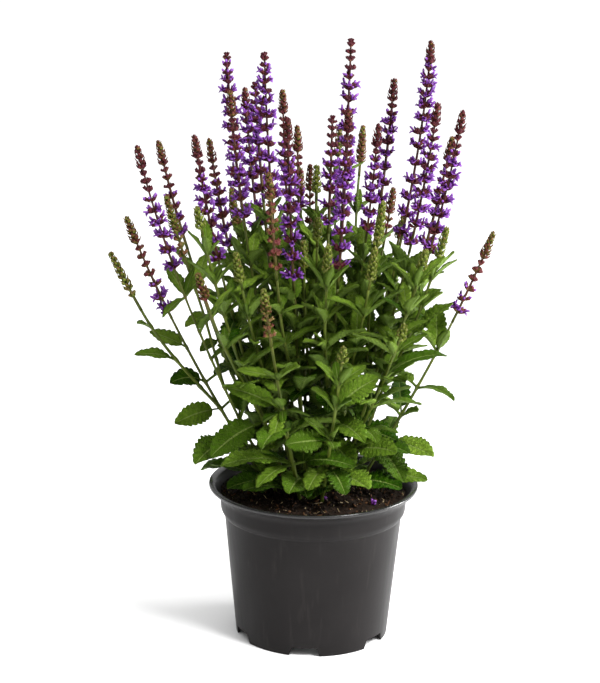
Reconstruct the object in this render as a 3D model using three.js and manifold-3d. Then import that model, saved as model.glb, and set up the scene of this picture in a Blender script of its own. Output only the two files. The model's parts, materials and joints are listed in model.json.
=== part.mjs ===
// A potted woodland sage: a clump of square, leafy stems that carry tall whorled flower spikes, growing in
// potting soil in a round dark nursery pot. Millimetres, +Z up, and the pot stands on z = 0.
import * as THREE from "three";
import { mergeVertices } from "three/addons/utils/BufferGeometryUtils.js";
import Module from "manifold-3d";

const wasm = await Module();
wasm.setup();

// Driving dimensions of the pot and its soil.
const RIM_RADIUS = 95;
const POT_HEIGHT = 142;
const FOOT_RADIUS = 69.2;
const WALL = 1.8;
const FLOOR_UNDERSIDE = 8;
const FLOOR_TOP = 10;
const POT_SIDES = 32;
const NOTCHES = 6;
const NOTCH_TURN = THREE.MathUtils.degToRad(-95.4);
const NOTCH_FOOT_WIDTH = 28;
const NOTCH_TOP_WIDTH = 22;
const NOTCH_HEIGHT = 8.4;
const DRAIN_WIDTH = 9;
const DRAIN_REACH = 17;
const DRAIN_HEIGHT = 6;
const DRAIN_INSET = 2;
const NOTCH_DEPTH = 20;
const SOIL_TOP = 134;
const SOIL_EDGE = 80;
const CLOD_HEIGHT = 1.3;
const CLOD_DEPTH = 2;
const CLOD_WAVES = { alongX: [0.31, 0.17], alongY: [-0.11, 0.29] };
const HOLE_DEPTH = 30;
const SEAT_GAP = 0.3;

// Driving dimensions of the stems. A stem leaves the soil upright, spreads out, and straightens as it rises.
const STEM_FOOT = 118;
const STEM_FREE = 138;
const FULL_HEIGHT = 560;
const CROWN_SHARE = 0.2;
const STRAIGHTENING = 1.6;
const STEM_CORNER = 2.1;
const SHOOT_CORNER = 1.6;
const NECK_CORNER = 1.25;
const FIRST_JOINT = 147;
const FIRST_SHOOT_JOINT = 24;
const JOINT_STEP = 28.5;
const JOINT_JITTER = 6;
const BRANCH_SPREAD = 1.6;
const SHORTEST_BRANCH_BEND = 45;
const SLOPE_STEP = 0.5;
const BRANCH_LEVELS = [0.2, 0.45, 0.75, 1.1];
const STEM_STEPS = 4;
const LAST_RING_GAP = 4;
const LAST_JOINT_GAP = 6;

// Driving dimensions of the leaves: at the foot of the clump, and at the top of it.
const LOW_LEAF = {
  height: 140, length: 70, broad: 0.42, pitch: 14, droop: 34, stalk: 0.3, swell: 0.5, taper: 0.56,
};
const HIGH_LEAF = {
  height: 380, length: 31, broad: 0.34, pitch: 62, droop: 6, stalk: 0.08, swell: 0.6, taper: 0.95,
};
const SHOOT_LEAF_SIZE = 0.82;
const LEAF_FOLD = 0.32;
const LEAF_RIB = 1.3;
const STALK_HALF_WIDTH = 0.9;
const STALK_TOP = 0.5;
const LARGE_LEAF = 57;
const SMALL_LEAF = 36;

// Each leaf is drawn at random within these: its size, and its droop, pitch, roll and turn in degrees.
const LEAF_SIZES = { least: 0.86, range: 0.28 };
const DROOP_RANGE = 30;
const PITCH_RANGE = 24;
const ROLL_RANGE = 36;
const TURN_RANGE = 24;

// The cut edge of a leaf: where its teeth begin and how far they go, as shares of the blade, and how far out
// the teeth and the notches reach, against the blade without them.
const TEETH_START = 0.1;
const TEETH_SPAN = 0.78;
const TOOTH_PEAK = 0.6;
const TOOTH_REACH = 1.12;
const NOTCH_REACH = 0.84;

// The whorls of a spike. Shares are of the spike's height, counted down from its tip.
const LOOKS = {
  bloom: { cone: 20, flowersFrom: 0.26 },
  late: { cone: 24, flowersFrom: 0.48 },
  calyx: { cone: 24, flowersFrom: 0.76 },
  green: { cone: 30, flowersFrom: 9 },
};
const CONE_RADIUS = 3.8;
const CALYX_RADIUS = 5.2;
const FLOWER_RADIUS = 9.6;
const OPEN_WHORL_HEIGHT = 6.4;
const CLOSED_WHORL_HEIGHT = 5;
const RACHIS_CORNER = 1.5;
const WHORL_STEP = 10.6;
const WIDEST_STEP = 16;
const APART_STEP = 14;
const WHORL_GROWTH = 1.12;
const WHORL_END = 7;
const FIRST_WHORL = 0.55;
const WHORL_FOOT = 0.2;
const WHORL_HEAD = 0.5;
const WHORL_CLEFT = 0.32;
const RACHIS_FOOT = 0.8;
const MOST_CONE = 0.7;
const LONG_CONE = 24;
const CONE_TAPER = 0.55;
const CONE_ROUNDING = 1.6;
const FIRST_SCALE = 0.55;
const PAST_SCALES = 0.35;
const SCALE_CLEFT = 0.72;
const SCALE_LIFT = 1.6;

// Each stem from the soil, with the shoots that branch from its joints. A tip is where the spike ends.
const STEMS = [
  {
    tip: [-171, 28, 380], spike: 93, look: "calyx",
    shoots: [{ tip: [-182, -12, 356], spike: 54, look: "green", joint: 2 }],
  },
  {
    tip: [-156, -35, 455], spike: 121, look: "bloom",
    shoots: [{ tip: [-134, 10, 403], spike: 69, look: "green", joint: 3 }],
  },
  { tip: [-144, 62, 443], spike: 99, look: "late", shoots: [] },
  {
    tip: [-106, -48, 467], spike: 127, look: "bloom",
    shoots: [
      { tip: [-103, -72, 410], spike: 26, look: "green", joint: 3 },
      { tip: [-101, -98, 358], spike: 35, look: "calyx", joint: 2 },
    ],
  },
  { tip: [-100, 100, 439], spike: 106, look: "late", shoots: [] },
  {
    tip: [-82, 42, 525], spike: 155, look: "bloom",
    shoots: [{ tip: [-77, 18, 409], spike: 45, look: "green", joint: 4 }],
  },
  {
    tip: [-77, -14, 500], spike: 123, look: "late",
    shoots: [{ tip: [-70, -70, 370], spike: 35, look: "green", joint: 2 }],
  },
  { tip: [-67, 88, 488], spike: 138, look: "bloom", shoots: [] },
  { tip: [-57, 50, 498], spike: 107, look: "bloom", shoots: [] },
  { tip: [-48, 8, 530], spike: 144, look: "bloom", shoots: [] },
  {
    tip: [-33, 112, 483], spike: 132, look: "late",
    shoots: [{ tip: [-16, 140, 406], spike: 42, look: "calyx", joint: 4 }],
  },
  {
    tip: [-27, -52, 483], spike: 155, look: "bloom",
    shoots: [{ tip: [-42, -88, 443], spike: 97, look: "calyx", joint: 3 }],
  },
  { tip: [-45, -118, 350], spike: 55, look: "calyx", shoots: [] },
  {
    tip: [-19, 70, 457], spike: 88, look: "calyx",
    shoots: [{ tip: [-1, 48, 425], spike: 33, look: "green", joint: 4 }],
  },
  { tip: [-7, 100, 416], spike: 63, look: "calyx", shoots: [] },
  {
    tip: [12, 12, 475], spike: 105, look: "bloom",
    shoots: [
      { tip: [0, -16, 390], spike: 27, look: "green", joint: 3 },
      { tip: [-12, -28, 372], spike: 33, look: "green", joint: 2 },
    ],
  },
  {
    tip: [28, 62, 536], spike: 174, look: "bloom",
    shoots: [{ tip: [20, 112, 451], spike: 38, look: "green", joint: 5 }],
  },
  {
    tip: [25, -50, 491], spike: 160, look: "bloom",
    shoots: [{ tip: [9, -82, 381], spike: 34, look: "green", joint: 3 }],
  },
  { tip: [23, -112, 300], spike: 20, look: "green", shoots: [] },
  {
    tip: [52, -2, 471], spike: 111, look: "bloom",
    shoots: [{ tip: [49, -82, 379], spike: 40, look: "green", joint: 2 }],
  },
  {
    tip: [67, 52, 503], spike: 124, look: "bloom",
    shoots: [
      { tip: [42, 122, 449], spike: 47, look: "green", joint: 4 },
      { tip: [71, 108, 394], spike: 56, look: "calyx", joint: 3 },
    ],
  },
  {
    tip: [97, 20, 541], spike: 191, look: "bloom",
    shoots: [
      { tip: [56, -48, 412], spike: 54, look: "green", joint: 3 },
      { tip: [79, 72, 375], spike: 28, look: "green", joint: 3 },
    ],
  },
  {
    tip: [101, -34, 495], spike: 134, look: "bloom",
    shoots: [
      { tip: [92, -80, 377], spike: 24, look: "green", joint: 3 },
      { tip: [75, -92, 315], spike: 20, look: "green", joint: 1 },
    ],
  },
  {
    tip: [125, -4, 484], spike: 138, look: "bloom",
    shoots: [{ tip: [111, -52, 391], spike: 37, look: "green", joint: 3 }],
  },
  { tip: [121, 62, 450], spike: 114, look: "late", shoots: [] },
  { tip: [157, 12, 374], spike: 84, look: "calyx", shoots: [] },
];

// The leaves that show most from the front, each at a joint of a stem or of its side shoot, in degrees.
const POSED_LEAVES = [
  { stem: 1, shoot: 0, joint: 2, azimuth: -145, pitch: 5, droop: 25, roll: -60, length: 50, width: 22 },
  { stem: 1, shoot: 0, joint: 3, azimuth: -150, pitch: 35, droop: 60, roll: -45, length: 38, width: 20 },
  { stem: 1, shoot: 0, joint: 4, azimuth: 156, pitch: 25, droop: 20, roll: -40, length: 40, width: 16 },
  { stem: 1, shoot: 1, joint: 1, azimuth: -153, pitch: 30, droop: 35, roll: -35, length: 42, width: 13 },
  { stem: 1, shoot: 1, joint: 2, azimuth: -120, pitch: 30, droop: 20, roll: -20, length: 24, width: 9 },
  { stem: 2, shoot: 0, joint: 0, azimuth: 178, pitch: 24, droop: 20, roll: -5, length: 58, width: 22 },
  { stem: 2, shoot: 0, joint: 5, azimuth: -64, pitch: 50, droop: 15, roll: 30, length: 42, width: 20 },
  { stem: 2, shoot: 0, joint: 6, azimuth: -138, pitch: -20, droop: 20, roll: 0, length: 30, width: 13 },
  { stem: 3, shoot: 0, joint: 4, azimuth: -132, pitch: 0, droop: 30, roll: -30, length: 26, width: 12 },
  { stem: 3, shoot: 0, joint: 5, azimuth: -162, pitch: -5, droop: 40, roll: -30, length: 26, width: 15 },
  { stem: 4, shoot: 0, joint: 0, azimuth: -147, pitch: 18, droop: 30, roll: -25, length: 62, width: 24 },
  { stem: 4, shoot: 0, joint: 2, azimuth: -147, pitch: -6, droop: 35, roll: -45, length: 62, width: 28 },
  { stem: 13, shoot: 0, joint: 0, azimuth: -163, pitch: 16, droop: 27, roll: -10, length: 58, width: 25 },
  { stem: 13, shoot: 0, joint: 0, azimuth: -75, pitch: 30, droop: 55, roll: 0, length: 34, width: 20 },
  { stem: 13, shoot: 0, joint: 3, azimuth: 176, pitch: 33, droop: 25, roll: -50, length: 54, width: 19 },
  { stem: 13, shoot: 0, joint: 3, azimuth: -103, pitch: -10, droop: 40, roll: 0, length: 42, width: 15 },
  { stem: 13, shoot: 0, joint: 4, azimuth: 179, pitch: 21, droop: 20, roll: -35, length: 36, width: 13 },
  { stem: 13, shoot: 0, joint: 4, azimuth: -53, pitch: 40, droop: 20, roll: 30, length: 38, width: 13 },
  { stem: 19, shoot: 0, joint: 0, azimuth: -160, pitch: 30, droop: 45, roll: 0, length: 24, width: 12 },
  { stem: 19, shoot: 0, joint: 0, azimuth: 20, pitch: 30, droop: 45, roll: 0, length: 24, width: 12 },
  { stem: 19, shoot: 0, joint: 1, azimuth: -125, pitch: 0, droop: 55, roll: -10, length: 34, width: 22 },
  { stem: 19, shoot: 0, joint: 1, azimuth: -60, pitch: 0, droop: 55, roll: 10, length: 38, width: 23 },
  { stem: 19, shoot: 0, joint: 2, azimuth: 182, pitch: 2, droop: 15, roll: -55, length: 42, width: 24 },
  { stem: 19, shoot: 0, joint: 2, azimuth: -165, pitch: 52, droop: 20, roll: -40, length: 34, width: 13 },
  { stem: 19, shoot: 0, joint: 3, azimuth: 10, pitch: 51, droop: 30, roll: 50, length: 48, width: 24 },
  { stem: 19, shoot: 0, joint: 3, azimuth: -144, pitch: 57, droop: 30, roll: -30, length: 36, width: 16 },
  { stem: 19, shoot: 0, joint: 4, azimuth: -145, pitch: 56, droop: 20, roll: -45, length: 36, width: 14 },
  { stem: 19, shoot: 0, joint: 4, azimuth: 10, pitch: 47, droop: 20, roll: 45, length: 30, width: 13 },
  { stem: 23, shoot: 0, joint: 0, azimuth: -24, pitch: 20, droop: 35, roll: 20, length: 62, width: 26 },
  { stem: 23, shoot: 0, joint: 1, azimuth: -42, pitch: 26, droop: 30, roll: 40, length: 56, width: 26 },
  { stem: 23, shoot: 2, joint: 2, azimuth: 6, pitch: 50, droop: 60, roll: 20, length: 62, width: 17 },
  { stem: 23, shoot: 2, joint: 3, azimuth: 10, pitch: 40, droop: 20, roll: 25, length: 34, width: 12 },
  { stem: 24, shoot: 1, joint: 0, azimuth: -36, pitch: 35, droop: 20, roll: 40, length: 38, width: 13 },
  { stem: 24, shoot: 1, joint: 1, azimuth: -24, pitch: 50, droop: 15, roll: 30, length: 56, width: 22 },
  { stem: 24, shoot: 1, joint: 2, azimuth: -42, pitch: 45, droop: 15, roll: 30, length: 30, width: 13 },
  { stem: 26, shoot: 0, joint: 0, azimuth: -6, pitch: 15, droop: 30, roll: 40, length: 60, width: 17 },
  { stem: 26, shoot: 0, joint: 1, azimuth: -46, pitch: 19, droop: 35, roll: 25, length: 62, width: 24 },
  { stem: 26, shoot: 0, joint: 2, azimuth: -59, pitch: 32, droop: 20, roll: 30, length: 30, width: 14 },
  { stem: 26, shoot: 0, joint: 3, azimuth: -52, pitch: 22, droop: 45, roll: 0, length: 52, width: 14 },
  { stem: 26, shoot: 0, joint: 4, azimuth: -60, pitch: 60, droop: 15, roll: -30, length: 30, width: 12 },
];

// The ways in which a leaf is turned, lifted and shortened until it clears its neighbours.
const LEAF_TRIES = [
  [0, 0, 1], [15, 5, 1], [-15, 5, 1], [0, 16, 0.95], [30, 8, 0.92],
  [-30, 8, 0.92], [0, 30, 0.9], [45, 15, 0.85], [-45, 15, 0.85], [0, -14, 0.85],
  [20, 40, 0.8], [-20, 40, 0.8], [60, 10, 0.75], [-60, 10, 0.75], [0, 50, 0.7],
];
const LEAF_TO_LEAF = 5.6;
const LEAF_TO_STEM = 6.4;
const LEAF_TO_SPIKE = 3.2;
const LEAF_OVER_RIM = 3;
const LEAF_OVER_SOIL = 4;
const RIM_BREADTH = 21;
const OBSTACLE_STEP = 6;
const FLOWER_OVERHANG = 6;
const LEAF_SAMPLES = 10;

// A leaf is solid by chance, the likelier the more it stands out of the clump or the lower it is.
const SOLID_LEAF_SHARE = 0.37;
const INNER_LEAF_WEIGHT = 0.5;
const OUTER_LEAF_WEIGHT = 0.75;
const LOW_LEAF_WEIGHT = 0.4;
const LOW_JOINTS = 215;
const CLUMP_RADIUS = 110;

// Where the clump is open at its sides, and only posed leaves stand. Reaches are those at full spread.
const OPEN_HEIGHTS = [185, 335];
const OPEN_REACHES = [-140, 175];
const LEAF_MIDDLE = 0.7;

const WELD_DISTANCE = 1e-4;
const rad = THREE.MathUtils.degToRad;
const lerp = THREE.MathUtils.lerp;
const clamp = THREE.MathUtils.clamp;

// A generator of draws from 0 to 1 that gives the same run for the same seed.
function seeded(seed) {
  let state = Math.imul(seed + 1, 2654435761) >>> 0;
  return () => {
    state = (Math.imul(state, 1664525) + 1013904223) >>> 0;
    return state / 4294967296;
  };
}

// The share of its full spread that the clump has at a height.
function spreadAt(z) {
  const rise = clamp((z - STEM_FREE) / (FULL_HEIGHT - STEM_FREE), 0, 1);
  return CROWN_SHARE + (1 - CROWN_SHARE) * (1 - (1 - rise) ** STRAIGHTENING);
}

// Where a stem or shoot stands at full spread.
function planOf(tip) {
  const spread = spreadAt(tip[2]);
  return [tip[0] / spread, tip[1] / spread];
}

// The point of a stem's or shoot's middle line at a height.
function middleAt(shoot, z) {
  const spread = spreadAt(z);
  if (!shoot.parent) return [shoot.plan[0] * spread, shoot.plan[1] * spread, z];
  const gone = 1 - (1 - clamp((z - shoot.start) / shoot.bend, 0, 1)) ** 2;
  return [
    (shoot.parent.plan[0] + shoot.away[0] * gone) * spread,
    (shoot.parent.plan[1] + shoot.away[1] * gone) * spread,
    z,
  ];
}

// The heights at which a stem's or shoot's solid has its rings, closest where it bends most.
function stemLevels(shoot) {
  const levels = [shoot.start];
  if (shoot.parent) BRANCH_LEVELS.forEach((share) => levels.push(shoot.start + share * shoot.bend));
  else for (let i = 0; i < STEM_STEPS; i++) levels.push(lerp(STEM_FREE, shoot.neck, i / STEM_STEPS));
  return [...levels.filter((z) => z < shoot.neck - LAST_RING_GAP), shoot.neck];
}

// The heights of a shoot's leaf joints, from its start to just below its spike.
function jointHeights(shoot, draw) {
  const heights = [];
  const first = shoot.parent ? shoot.start + FIRST_SHOOT_JOINT : FIRST_JOINT;
  for (let z = first; z < shoot.neck - LAST_JOINT_GAP; z += JOINT_STEP) {
    heights.push(z + (draw() - 0.5) * JOINT_JITTER);
  }
  return heights;
}

// All stems and shoots in one list, each with its plan, start, neck and joints worked out.
function growShoots() {
  const shoots = [];
  const add = (row, stem, parent, side) => {
    const shoot = { ...row, stem, parent, side, plan: planOf(row.tip) };
    shoot.away = parent ? [shoot.plan[0] - parent.plan[0], shoot.plan[1] - parent.plan[1]] : shoot.plan;
    shoot.start = parent ? parent.joints[row.joint] : STEM_FOOT;
    shoot.neck = row.tip[2] - row.spike;
    const reach = Math.hypot(shoot.away[0], shoot.away[1]);
    shoot.bend = Math.min(Math.max(BRANCH_SPREAD * reach, SHORTEST_BRANCH_BEND), row.tip[2] - shoot.start);
    shoot.levels = stemLevels(shoot);
    shoot.outward = Math.atan2(shoot.away[1], shoot.away[0]);
    shoot.draw = seeded(shoots.length);
    shoot.joints = jointHeights(shoot, shoot.draw);
    shoots.push(shoot);
    return shoot;
  };
  STEMS.forEach((row, stem) => {
    const main = add(row, stem, null, 0);
    row.shoots.forEach((branch, i) => add(branch, stem, main, i + 1));
  });
  return shoots;
}

// The pair of leaves at each joint of a shoot, crosswise to the pair below. A posed leaf takes its place.
function leavesOf(shoot, shoots) {
  const leaves = [];
  const facing = Math.atan2(shoot.plan[1], shoot.plan[0]);
  const radius = Math.hypot(shoot.plan[0], shoot.plan[1]);
  shoot.joints.forEach((z, joint) => {
    const branch = shoots.find((other) => other.parent === shoot && other.joint === joint);
    const posed = POSED_LEAVES.filter(
      (row) => row.stem === shoot.stem + 1 && row.shoot === shoot.side && row.joint === joint,
    );
    const crossed = joint % 2 === 0 ? 0 : Math.PI / 2;
    let azimuth = shoot.outward + crossed + rad(TURN_RANGE) * (shoot.draw() - 0.5);
    if (branch) azimuth = branch.outward;
    if (posed.length > 0) azimuth = rad(posed[0].azimuth);
    const up = clamp((z - LOW_LEAF.height) / (HIGH_LEAF.height - LOW_LEAF.height), 0, 1);
    for (const side of [0, 1]) {
      const size = LEAF_SIZES.least + LEAF_SIZES.range * shoot.draw();
      const leaf = {
        shoot,
        base: middleAt(shoot, z),
        azimuth: azimuth + side * Math.PI,
        length: lerp(LOW_LEAF.length, HIGH_LEAF.length, up) * size * (shoot.parent ? SHOOT_LEAF_SIZE : 1),
        pitch: rad(lerp(LOW_LEAF.pitch, HIGH_LEAF.pitch, up) + PITCH_RANGE * (shoot.draw() - 0.5)),
        droop: rad(lerp(LOW_LEAF.droop, HIGH_LEAF.droop, up) + DROOP_RANGE * shoot.draw()),
        roll: rad(ROLL_RANGE) * (shoot.draw() - 0.5),
        stalk: lerp(LOW_LEAF.stalk, HIGH_LEAF.stalk, Math.sqrt(up)),
        swell: lerp(LOW_LEAF.swell, HIGH_LEAF.swell, Math.sqrt(up)),
        taper: lerp(LOW_LEAF.taper, HIGH_LEAF.taper, Math.sqrt(up)),
      };
      leaf.width = leaf.length * lerp(LOW_LEAF.broad, HIGH_LEAF.broad, up);
      const shown = Math.cos(leaf.azimuth - facing) * Math.min(1, radius / CLUMP_RADIUS);
      const weight = INNER_LEAF_WEIGHT + OUTER_LEAF_WEIGHT * shown + (z < LOW_JOINTS ? LOW_LEAF_WEIGHT : 0);
      leaf.solid = shoot.draw() < SOLID_LEAF_SHARE * weight;
      if (posed[side]) {
        const { length, width } = posed[side];
        Object.assign(leaf, { length, width, solid: true, posed: true });
        for (const angle of ["azimuth", "pitch", "droop", "roll"]) leaf[angle] = rad(posed[side][angle]);
      }
      leaf.teeth = leaf.length > LARGE_LEAF ? 3 : leaf.length > SMALL_LEAF ? 2 : 1;
      if (leaf.posed || !isInOpening(leaf)) leaves.push(leaf);
    }
  });
  return leaves;
}

// How broad a leaf is at a share of its blade, against its full half width. A small taper makes a blunt tip.
function bladeShape(leaf, t) {
  const widest = leaf.swell / (leaf.swell + leaf.taper);
  const full = widest ** leaf.swell * (1 - widest) ** leaf.taper;
  return (t ** leaf.swell * (1 - t) ** leaf.taper) / full;
}

// A point of a leaf: along runs from stem to tip, across from edge to edge, and lift is above the blade.
function leafPoint(leaf, along, across, lift = 0, cut = 1) {
  const pitch = leaf.pitch - leaf.droop * along;
  const out = (leaf.length * (Math.sin(leaf.pitch) - Math.sin(pitch))) / leaf.droop;
  const rise = (leaf.length * (Math.cos(pitch) - Math.cos(leaf.pitch))) / leaf.droop;
  const blade = clamp((along - leaf.stalk) / (1 - leaf.stalk), 0, 1);
  const half = Math.max((bladeShape(leaf, blade) * cut * leaf.width) / 2, along < 1 ? STALK_HALF_WIDTH : 0);
  const sideways = across * half * Math.cos(LEAF_FOLD);
  const raised = Math.abs(across) * half * Math.sin(LEAF_FOLD) + lift;
  const toSide = sideways * Math.cos(leaf.roll) - raised * Math.sin(leaf.roll);
  const toFace = sideways * Math.sin(leaf.roll) + raised * Math.cos(leaf.roll);
  const ahead = [Math.cos(leaf.azimuth), Math.sin(leaf.azimuth)];
  const flat = out - toFace * Math.sin(pitch);
  return [
    leaf.base[0] + ahead[0] * flat - ahead[1] * toSide,
    leaf.base[1] + ahead[1] * flat + ahead[0] * toSide,
    leaf.base[2] + rise + toFace * Math.cos(pitch),
  ];
}

// Whether the middle of a leaf lies where the clump is open.
function isInOpening(leaf) {
  const [x, , z] = leafPoint(leaf, LEAF_MIDDLE, 0);
  const reach = x / spreadAt(z);
  const isAside = reach < OPEN_REACHES[0] || reach > OPEN_REACHES[1];
  return isAside && z > OPEN_HEIGHTS[0] && z < OPEN_HEIGHTS[1];
}

// The whorls of a spike, counted down from its tip.
function whorlsOf(shoot) {
  const look = LOOKS[shoot.look];
  const cone = Math.min(look.cone, shoot.spike * MOST_CONE);
  const whorls = [];
  let step = WHORL_STEP;
  for (let down = cone + step * FIRST_WHORL; down < shoot.spike - WHORL_END; down += step) {
    const open = down > look.flowersFrom * shoot.spike;
    whorls.push({ down, open, step, radius: open ? FLOWER_RADIUS : CALYX_RADIUS });
    step = Math.min(step * WHORL_GROWTH, WIDEST_STEP);
  }
  return { cone, whorls };
}

// How far a shoot's solid reaches from its middle line at a height.
function girthAt(shoot, z) {
  const down = shoot.tip[2] - z;
  if (down > shoot.spike) return 0;
  if (down > LOOKS[shoot.look].flowersFrom * shoot.spike - FLOWER_OVERHANG) return FLOWER_RADIUS;
  return CALYX_RADIUS;
}

// The points that a leaf has to clear: every stem and spike, and each leaf as it is settled.
function obstaclesOf(shoots) {
  const obstacles = [];
  for (const shoot of shoots) {
    for (let z = Math.max(shoot.start, STEM_FREE); z < shoot.tip[2]; z += OBSTACLE_STEP) {
      const girth = girthAt(shoot, z);
      const ownSpike = girth > 0 && shoot.look !== "green";
      const clear = girth > 0 ? girth + LEAF_TO_SPIKE : LEAF_TO_STEM;
      obstacles.push({ at: middleAt(shoot, z), clear, stem: ownSpike ? -1 : shoot.stem });
    }
  }
  return obstacles;
}

// Points spread over a leaf, past the root of its stalk.
function leafSamples(leaf) {
  const points = [];
  for (let i = 2; i <= LEAF_SAMPLES; i++) {
    for (let across = -1; across <= 1; across += 0.5) points.push(leafPoint(leaf, i / LEAF_SAMPLES, across));
  }
  return points;
}

function clearOfPot(point) {
  const radius = Math.hypot(point[0], point[1]);
  if (radius > RIM_RADIUS + LEAF_OVER_RIM) return true;
  if (radius > RIM_RADIUS - RIM_BREADTH) return point[2] > POT_HEIGHT + LEAF_OVER_RIM;
  return point[2] > SOIL_TOP + LEAF_OVER_SOIL;
}

function clearOf(point, obstacle, stem) {
  if (obstacle.stem === stem) return true;
  const gap = Math.hypot(point[0] - obstacle.at[0], point[1] - obstacle.at[1], point[2] - obstacle.at[2]);
  return gap > obstacle.clear;
}

// Turns, lifts and shortens each solid leaf until it clears what stands round it, or leaves it out.
function settleLeaves(leaves, obstacles) {
  const settled = [];
  const wanted = leaves.filter((leaf) => leaf.solid).sort((a, b) => (b.posed ? 1 : 0) - (a.posed ? 1 : 0));
  for (const leaf of wanted) {
    for (const [turn, lift, scale] of LEAF_TRIES) {
      const tried = {
        ...leaf,
        azimuth: leaf.azimuth + rad(turn),
        pitch: leaf.pitch + rad(lift),
        length: leaf.length * scale,
        width: leaf.width * scale,
      };
      const points = leafSamples(tried);
      const stem = leaf.shoot.stem;
      const clear = points.every((p) => clearOfPot(p) && obstacles.every((each) => clearOf(p, each, stem)));
      if (!clear) continue;
      settled.push(tried);
      points.forEach((at) => obstacles.push({ at, clear: LEAF_TO_LEAF, stem }));
      break;
    }
  }
  return settled;
}

// A solid from corner points and triangles.
function solidOf(points, triangles) {
  const vertProperties = new Float32Array(points.flat());
  const triVerts = new Uint32Array(triangles.flat());
  return new wasm.Manifold(new wasm.Mesh({ numProp: 3, vertProperties, triVerts }));
}

function solidOfGeometry(geometry) {
  const bare = geometry.index ? geometry.toNonIndexed() : geometry;
  const positions = new THREE.BufferGeometry().setAttribute("position", bare.getAttribute("position"));
  const merged = mergeVertices(positions, WELD_DISTANCE);
  return new wasm.Manifold(
    new wasm.Mesh({
      numProp: 3,
      vertProperties: merged.getAttribute("position").array,
      triVerts: new Uint32Array(merged.index.array),
    }),
  );
}

function meshOf(name, solid, material) {
  const made = solid.getMesh();
  const geometry = new THREE.BufferGeometry();
  geometry.setAttribute("position", new THREE.BufferAttribute(made.vertProperties, 3));
  geometry.setIndex(new THREE.BufferAttribute(made.triVerts, 1));
  geometry.computeVertexNormals();
  const mesh = new THREE.Mesh(geometry, material);
  mesh.name = name;
  return mesh;
}

// One leaf as a solid: a folded blade with cut edges, a rib below it, and a stalk that starts in the stem.
function leafSolid(leaf) {
  const points = [];
  const triangles = [];
  const put = (...place) => points.push(leafPoint(leaf, ...place)) - 1;
  const face = (a, b, c, turned) => triangles.push(turned ? [a, c, b] : [a, b, c]);
  const onBlade = (t) => leaf.stalk + (1 - leaf.stalk) * t;
  const edgeAt = (tooth) => onBlade(TEETH_START + (TEETH_SPAN * tooth) / leaf.teeth);
  const root = [put(0, 0, STALK_TOP), put(0, 0, STALK_TOP - LEAF_RIB)];
  const tip = put(1, 0);
  const stations = [];
  for (let i = 0; i <= leaf.teeth; i++) {
    const along = edgeAt(i);
    const peak = edgeAt(i + TOOTH_PEAK);
    const notch = i === 0 ? 1 : NOTCH_REACH;
    stations.push({
      ribs: [put(along, 0), put(along, 0, -LEAF_RIB)],
      notches: [put(along, 1, 0, notch), put(along, -1, 0, notch)],
      teeth: i < leaf.teeth ? [put(peak, 1, 0, TOOTH_REACH), put(peak, -1, 0, TOOTH_REACH)] : [],
    });
  }
  const [first, last] = [stations[0], stations.at(-1)];
  for (const edge of [0, 1]) {
    const right = edge === 1;
    face(root[0], root[1], first.notches[edge], !right);
    for (const level of [0, 1]) {
      const turned = right !== (level === 1);
      face(root[level], first.ribs[level], first.notches[edge], turned);
      face(last.ribs[level], tip, last.notches[edge], turned);
      for (let i = 0; i < leaf.teeth; i++) {
        const [here, next] = [stations[i], stations[i + 1]];
        face(here.ribs[level], here.teeth[edge], here.notches[edge], turned);
        face(here.ribs[level], next.ribs[level], here.teeth[edge], turned);
        face(next.ribs[level], next.notches[edge], here.teeth[edge], turned);
      }
    }
  }
  return solidOf(points, triangles);
}

// A ring of corners square to a shoot's middle line, a flat side outward. Each has its radius and its lift.
function ringAt(shoot, z, corners) {
  const [below, above] = [middleAt(shoot, z - SLOPE_STEP), middleAt(shoot, z + SLOPE_STEP)];
  const middle = new THREE.Vector3(...middleAt(shoot, z));
  const along = new THREE.Vector3(...above).sub(new THREE.Vector3(...below)).normalize();
  const right = new THREE.Vector3(1, 0, 0).addScaledVector(along, -along.x).normalize();
  const back = new THREE.Vector3().crossVectors(along, right);
  return corners.map(({ turn, radius, lift = 0 }) =>
    middle
      .clone()
      .addScaledVector(right, radius * Math.cos(turn + shoot.outward))
      .addScaledVector(back, radius * Math.sin(turn + shoot.outward))
      .addScaledVector(along, lift)
      .toArray(),
  );
}

const squareCorners = (radius, lift = 0) =>
  [0, 1, 2, 3].map((i) => ({ turn: Math.PI / 4 + (i * Math.PI) / 2, radius, lift }));

// Joins rings from the bottom up into one closed solid. A ring has 4 corners, 8, or the 1 of an apex.
function solidOfRings(rings) {
  const points = rings.flat();
  const triangles = [
    [0, 2, 1],
    [0, 3, 2],
  ];
  let start = 0;
  for (let level = 0; level + 1 < rings.length; level++) {
    const [n, m] = [rings[level].length, rings[level + 1].length];
    const low = (i) => start + ((i + n) % n);
    const high = (i) => start + n + ((i + m) % m);
    for (let i = 0; i < Math.min(n, m === 1 ? n : m); i++) {
      if (m === 1) triangles.push([low(i), low(i + 1), high(0)]);
      else if (n === m) triangles.push([low(i), low(i + 1), high(i + 1)], [low(i), high(i + 1), high(i)]);
      else if (n < m) {
        triangles.push([low(i), high(2 * i), high(2 * i - 1)], [low(i), high(2 * i + 1), high(2 * i)]);
        triangles.push([low(i), low(i + 1), high(2 * i + 1)]);
      } else {
        triangles.push([low(2 * i - 1), low(2 * i), high(i)], [low(2 * i), low(2 * i + 1), high(i)]);
        triangles.push([low(2 * i + 1), high(i + 1), high(i)]);
      }
    }
    start += n;
  }
  if (rings.at(-1).length === 4) triangles.push([start, start + 1, start + 2], [start, start + 2, start + 3]);
  return solidOf(points, triangles);
}

const cornerAt = (shoot, z) => {
  const foot = shoot.parent ? SHOOT_CORNER : STEM_CORNER;
  return lerp(foot, NECK_CORNER, clamp((z - shoot.start) / (shoot.neck - shoot.start), 0, 1));
};

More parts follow.
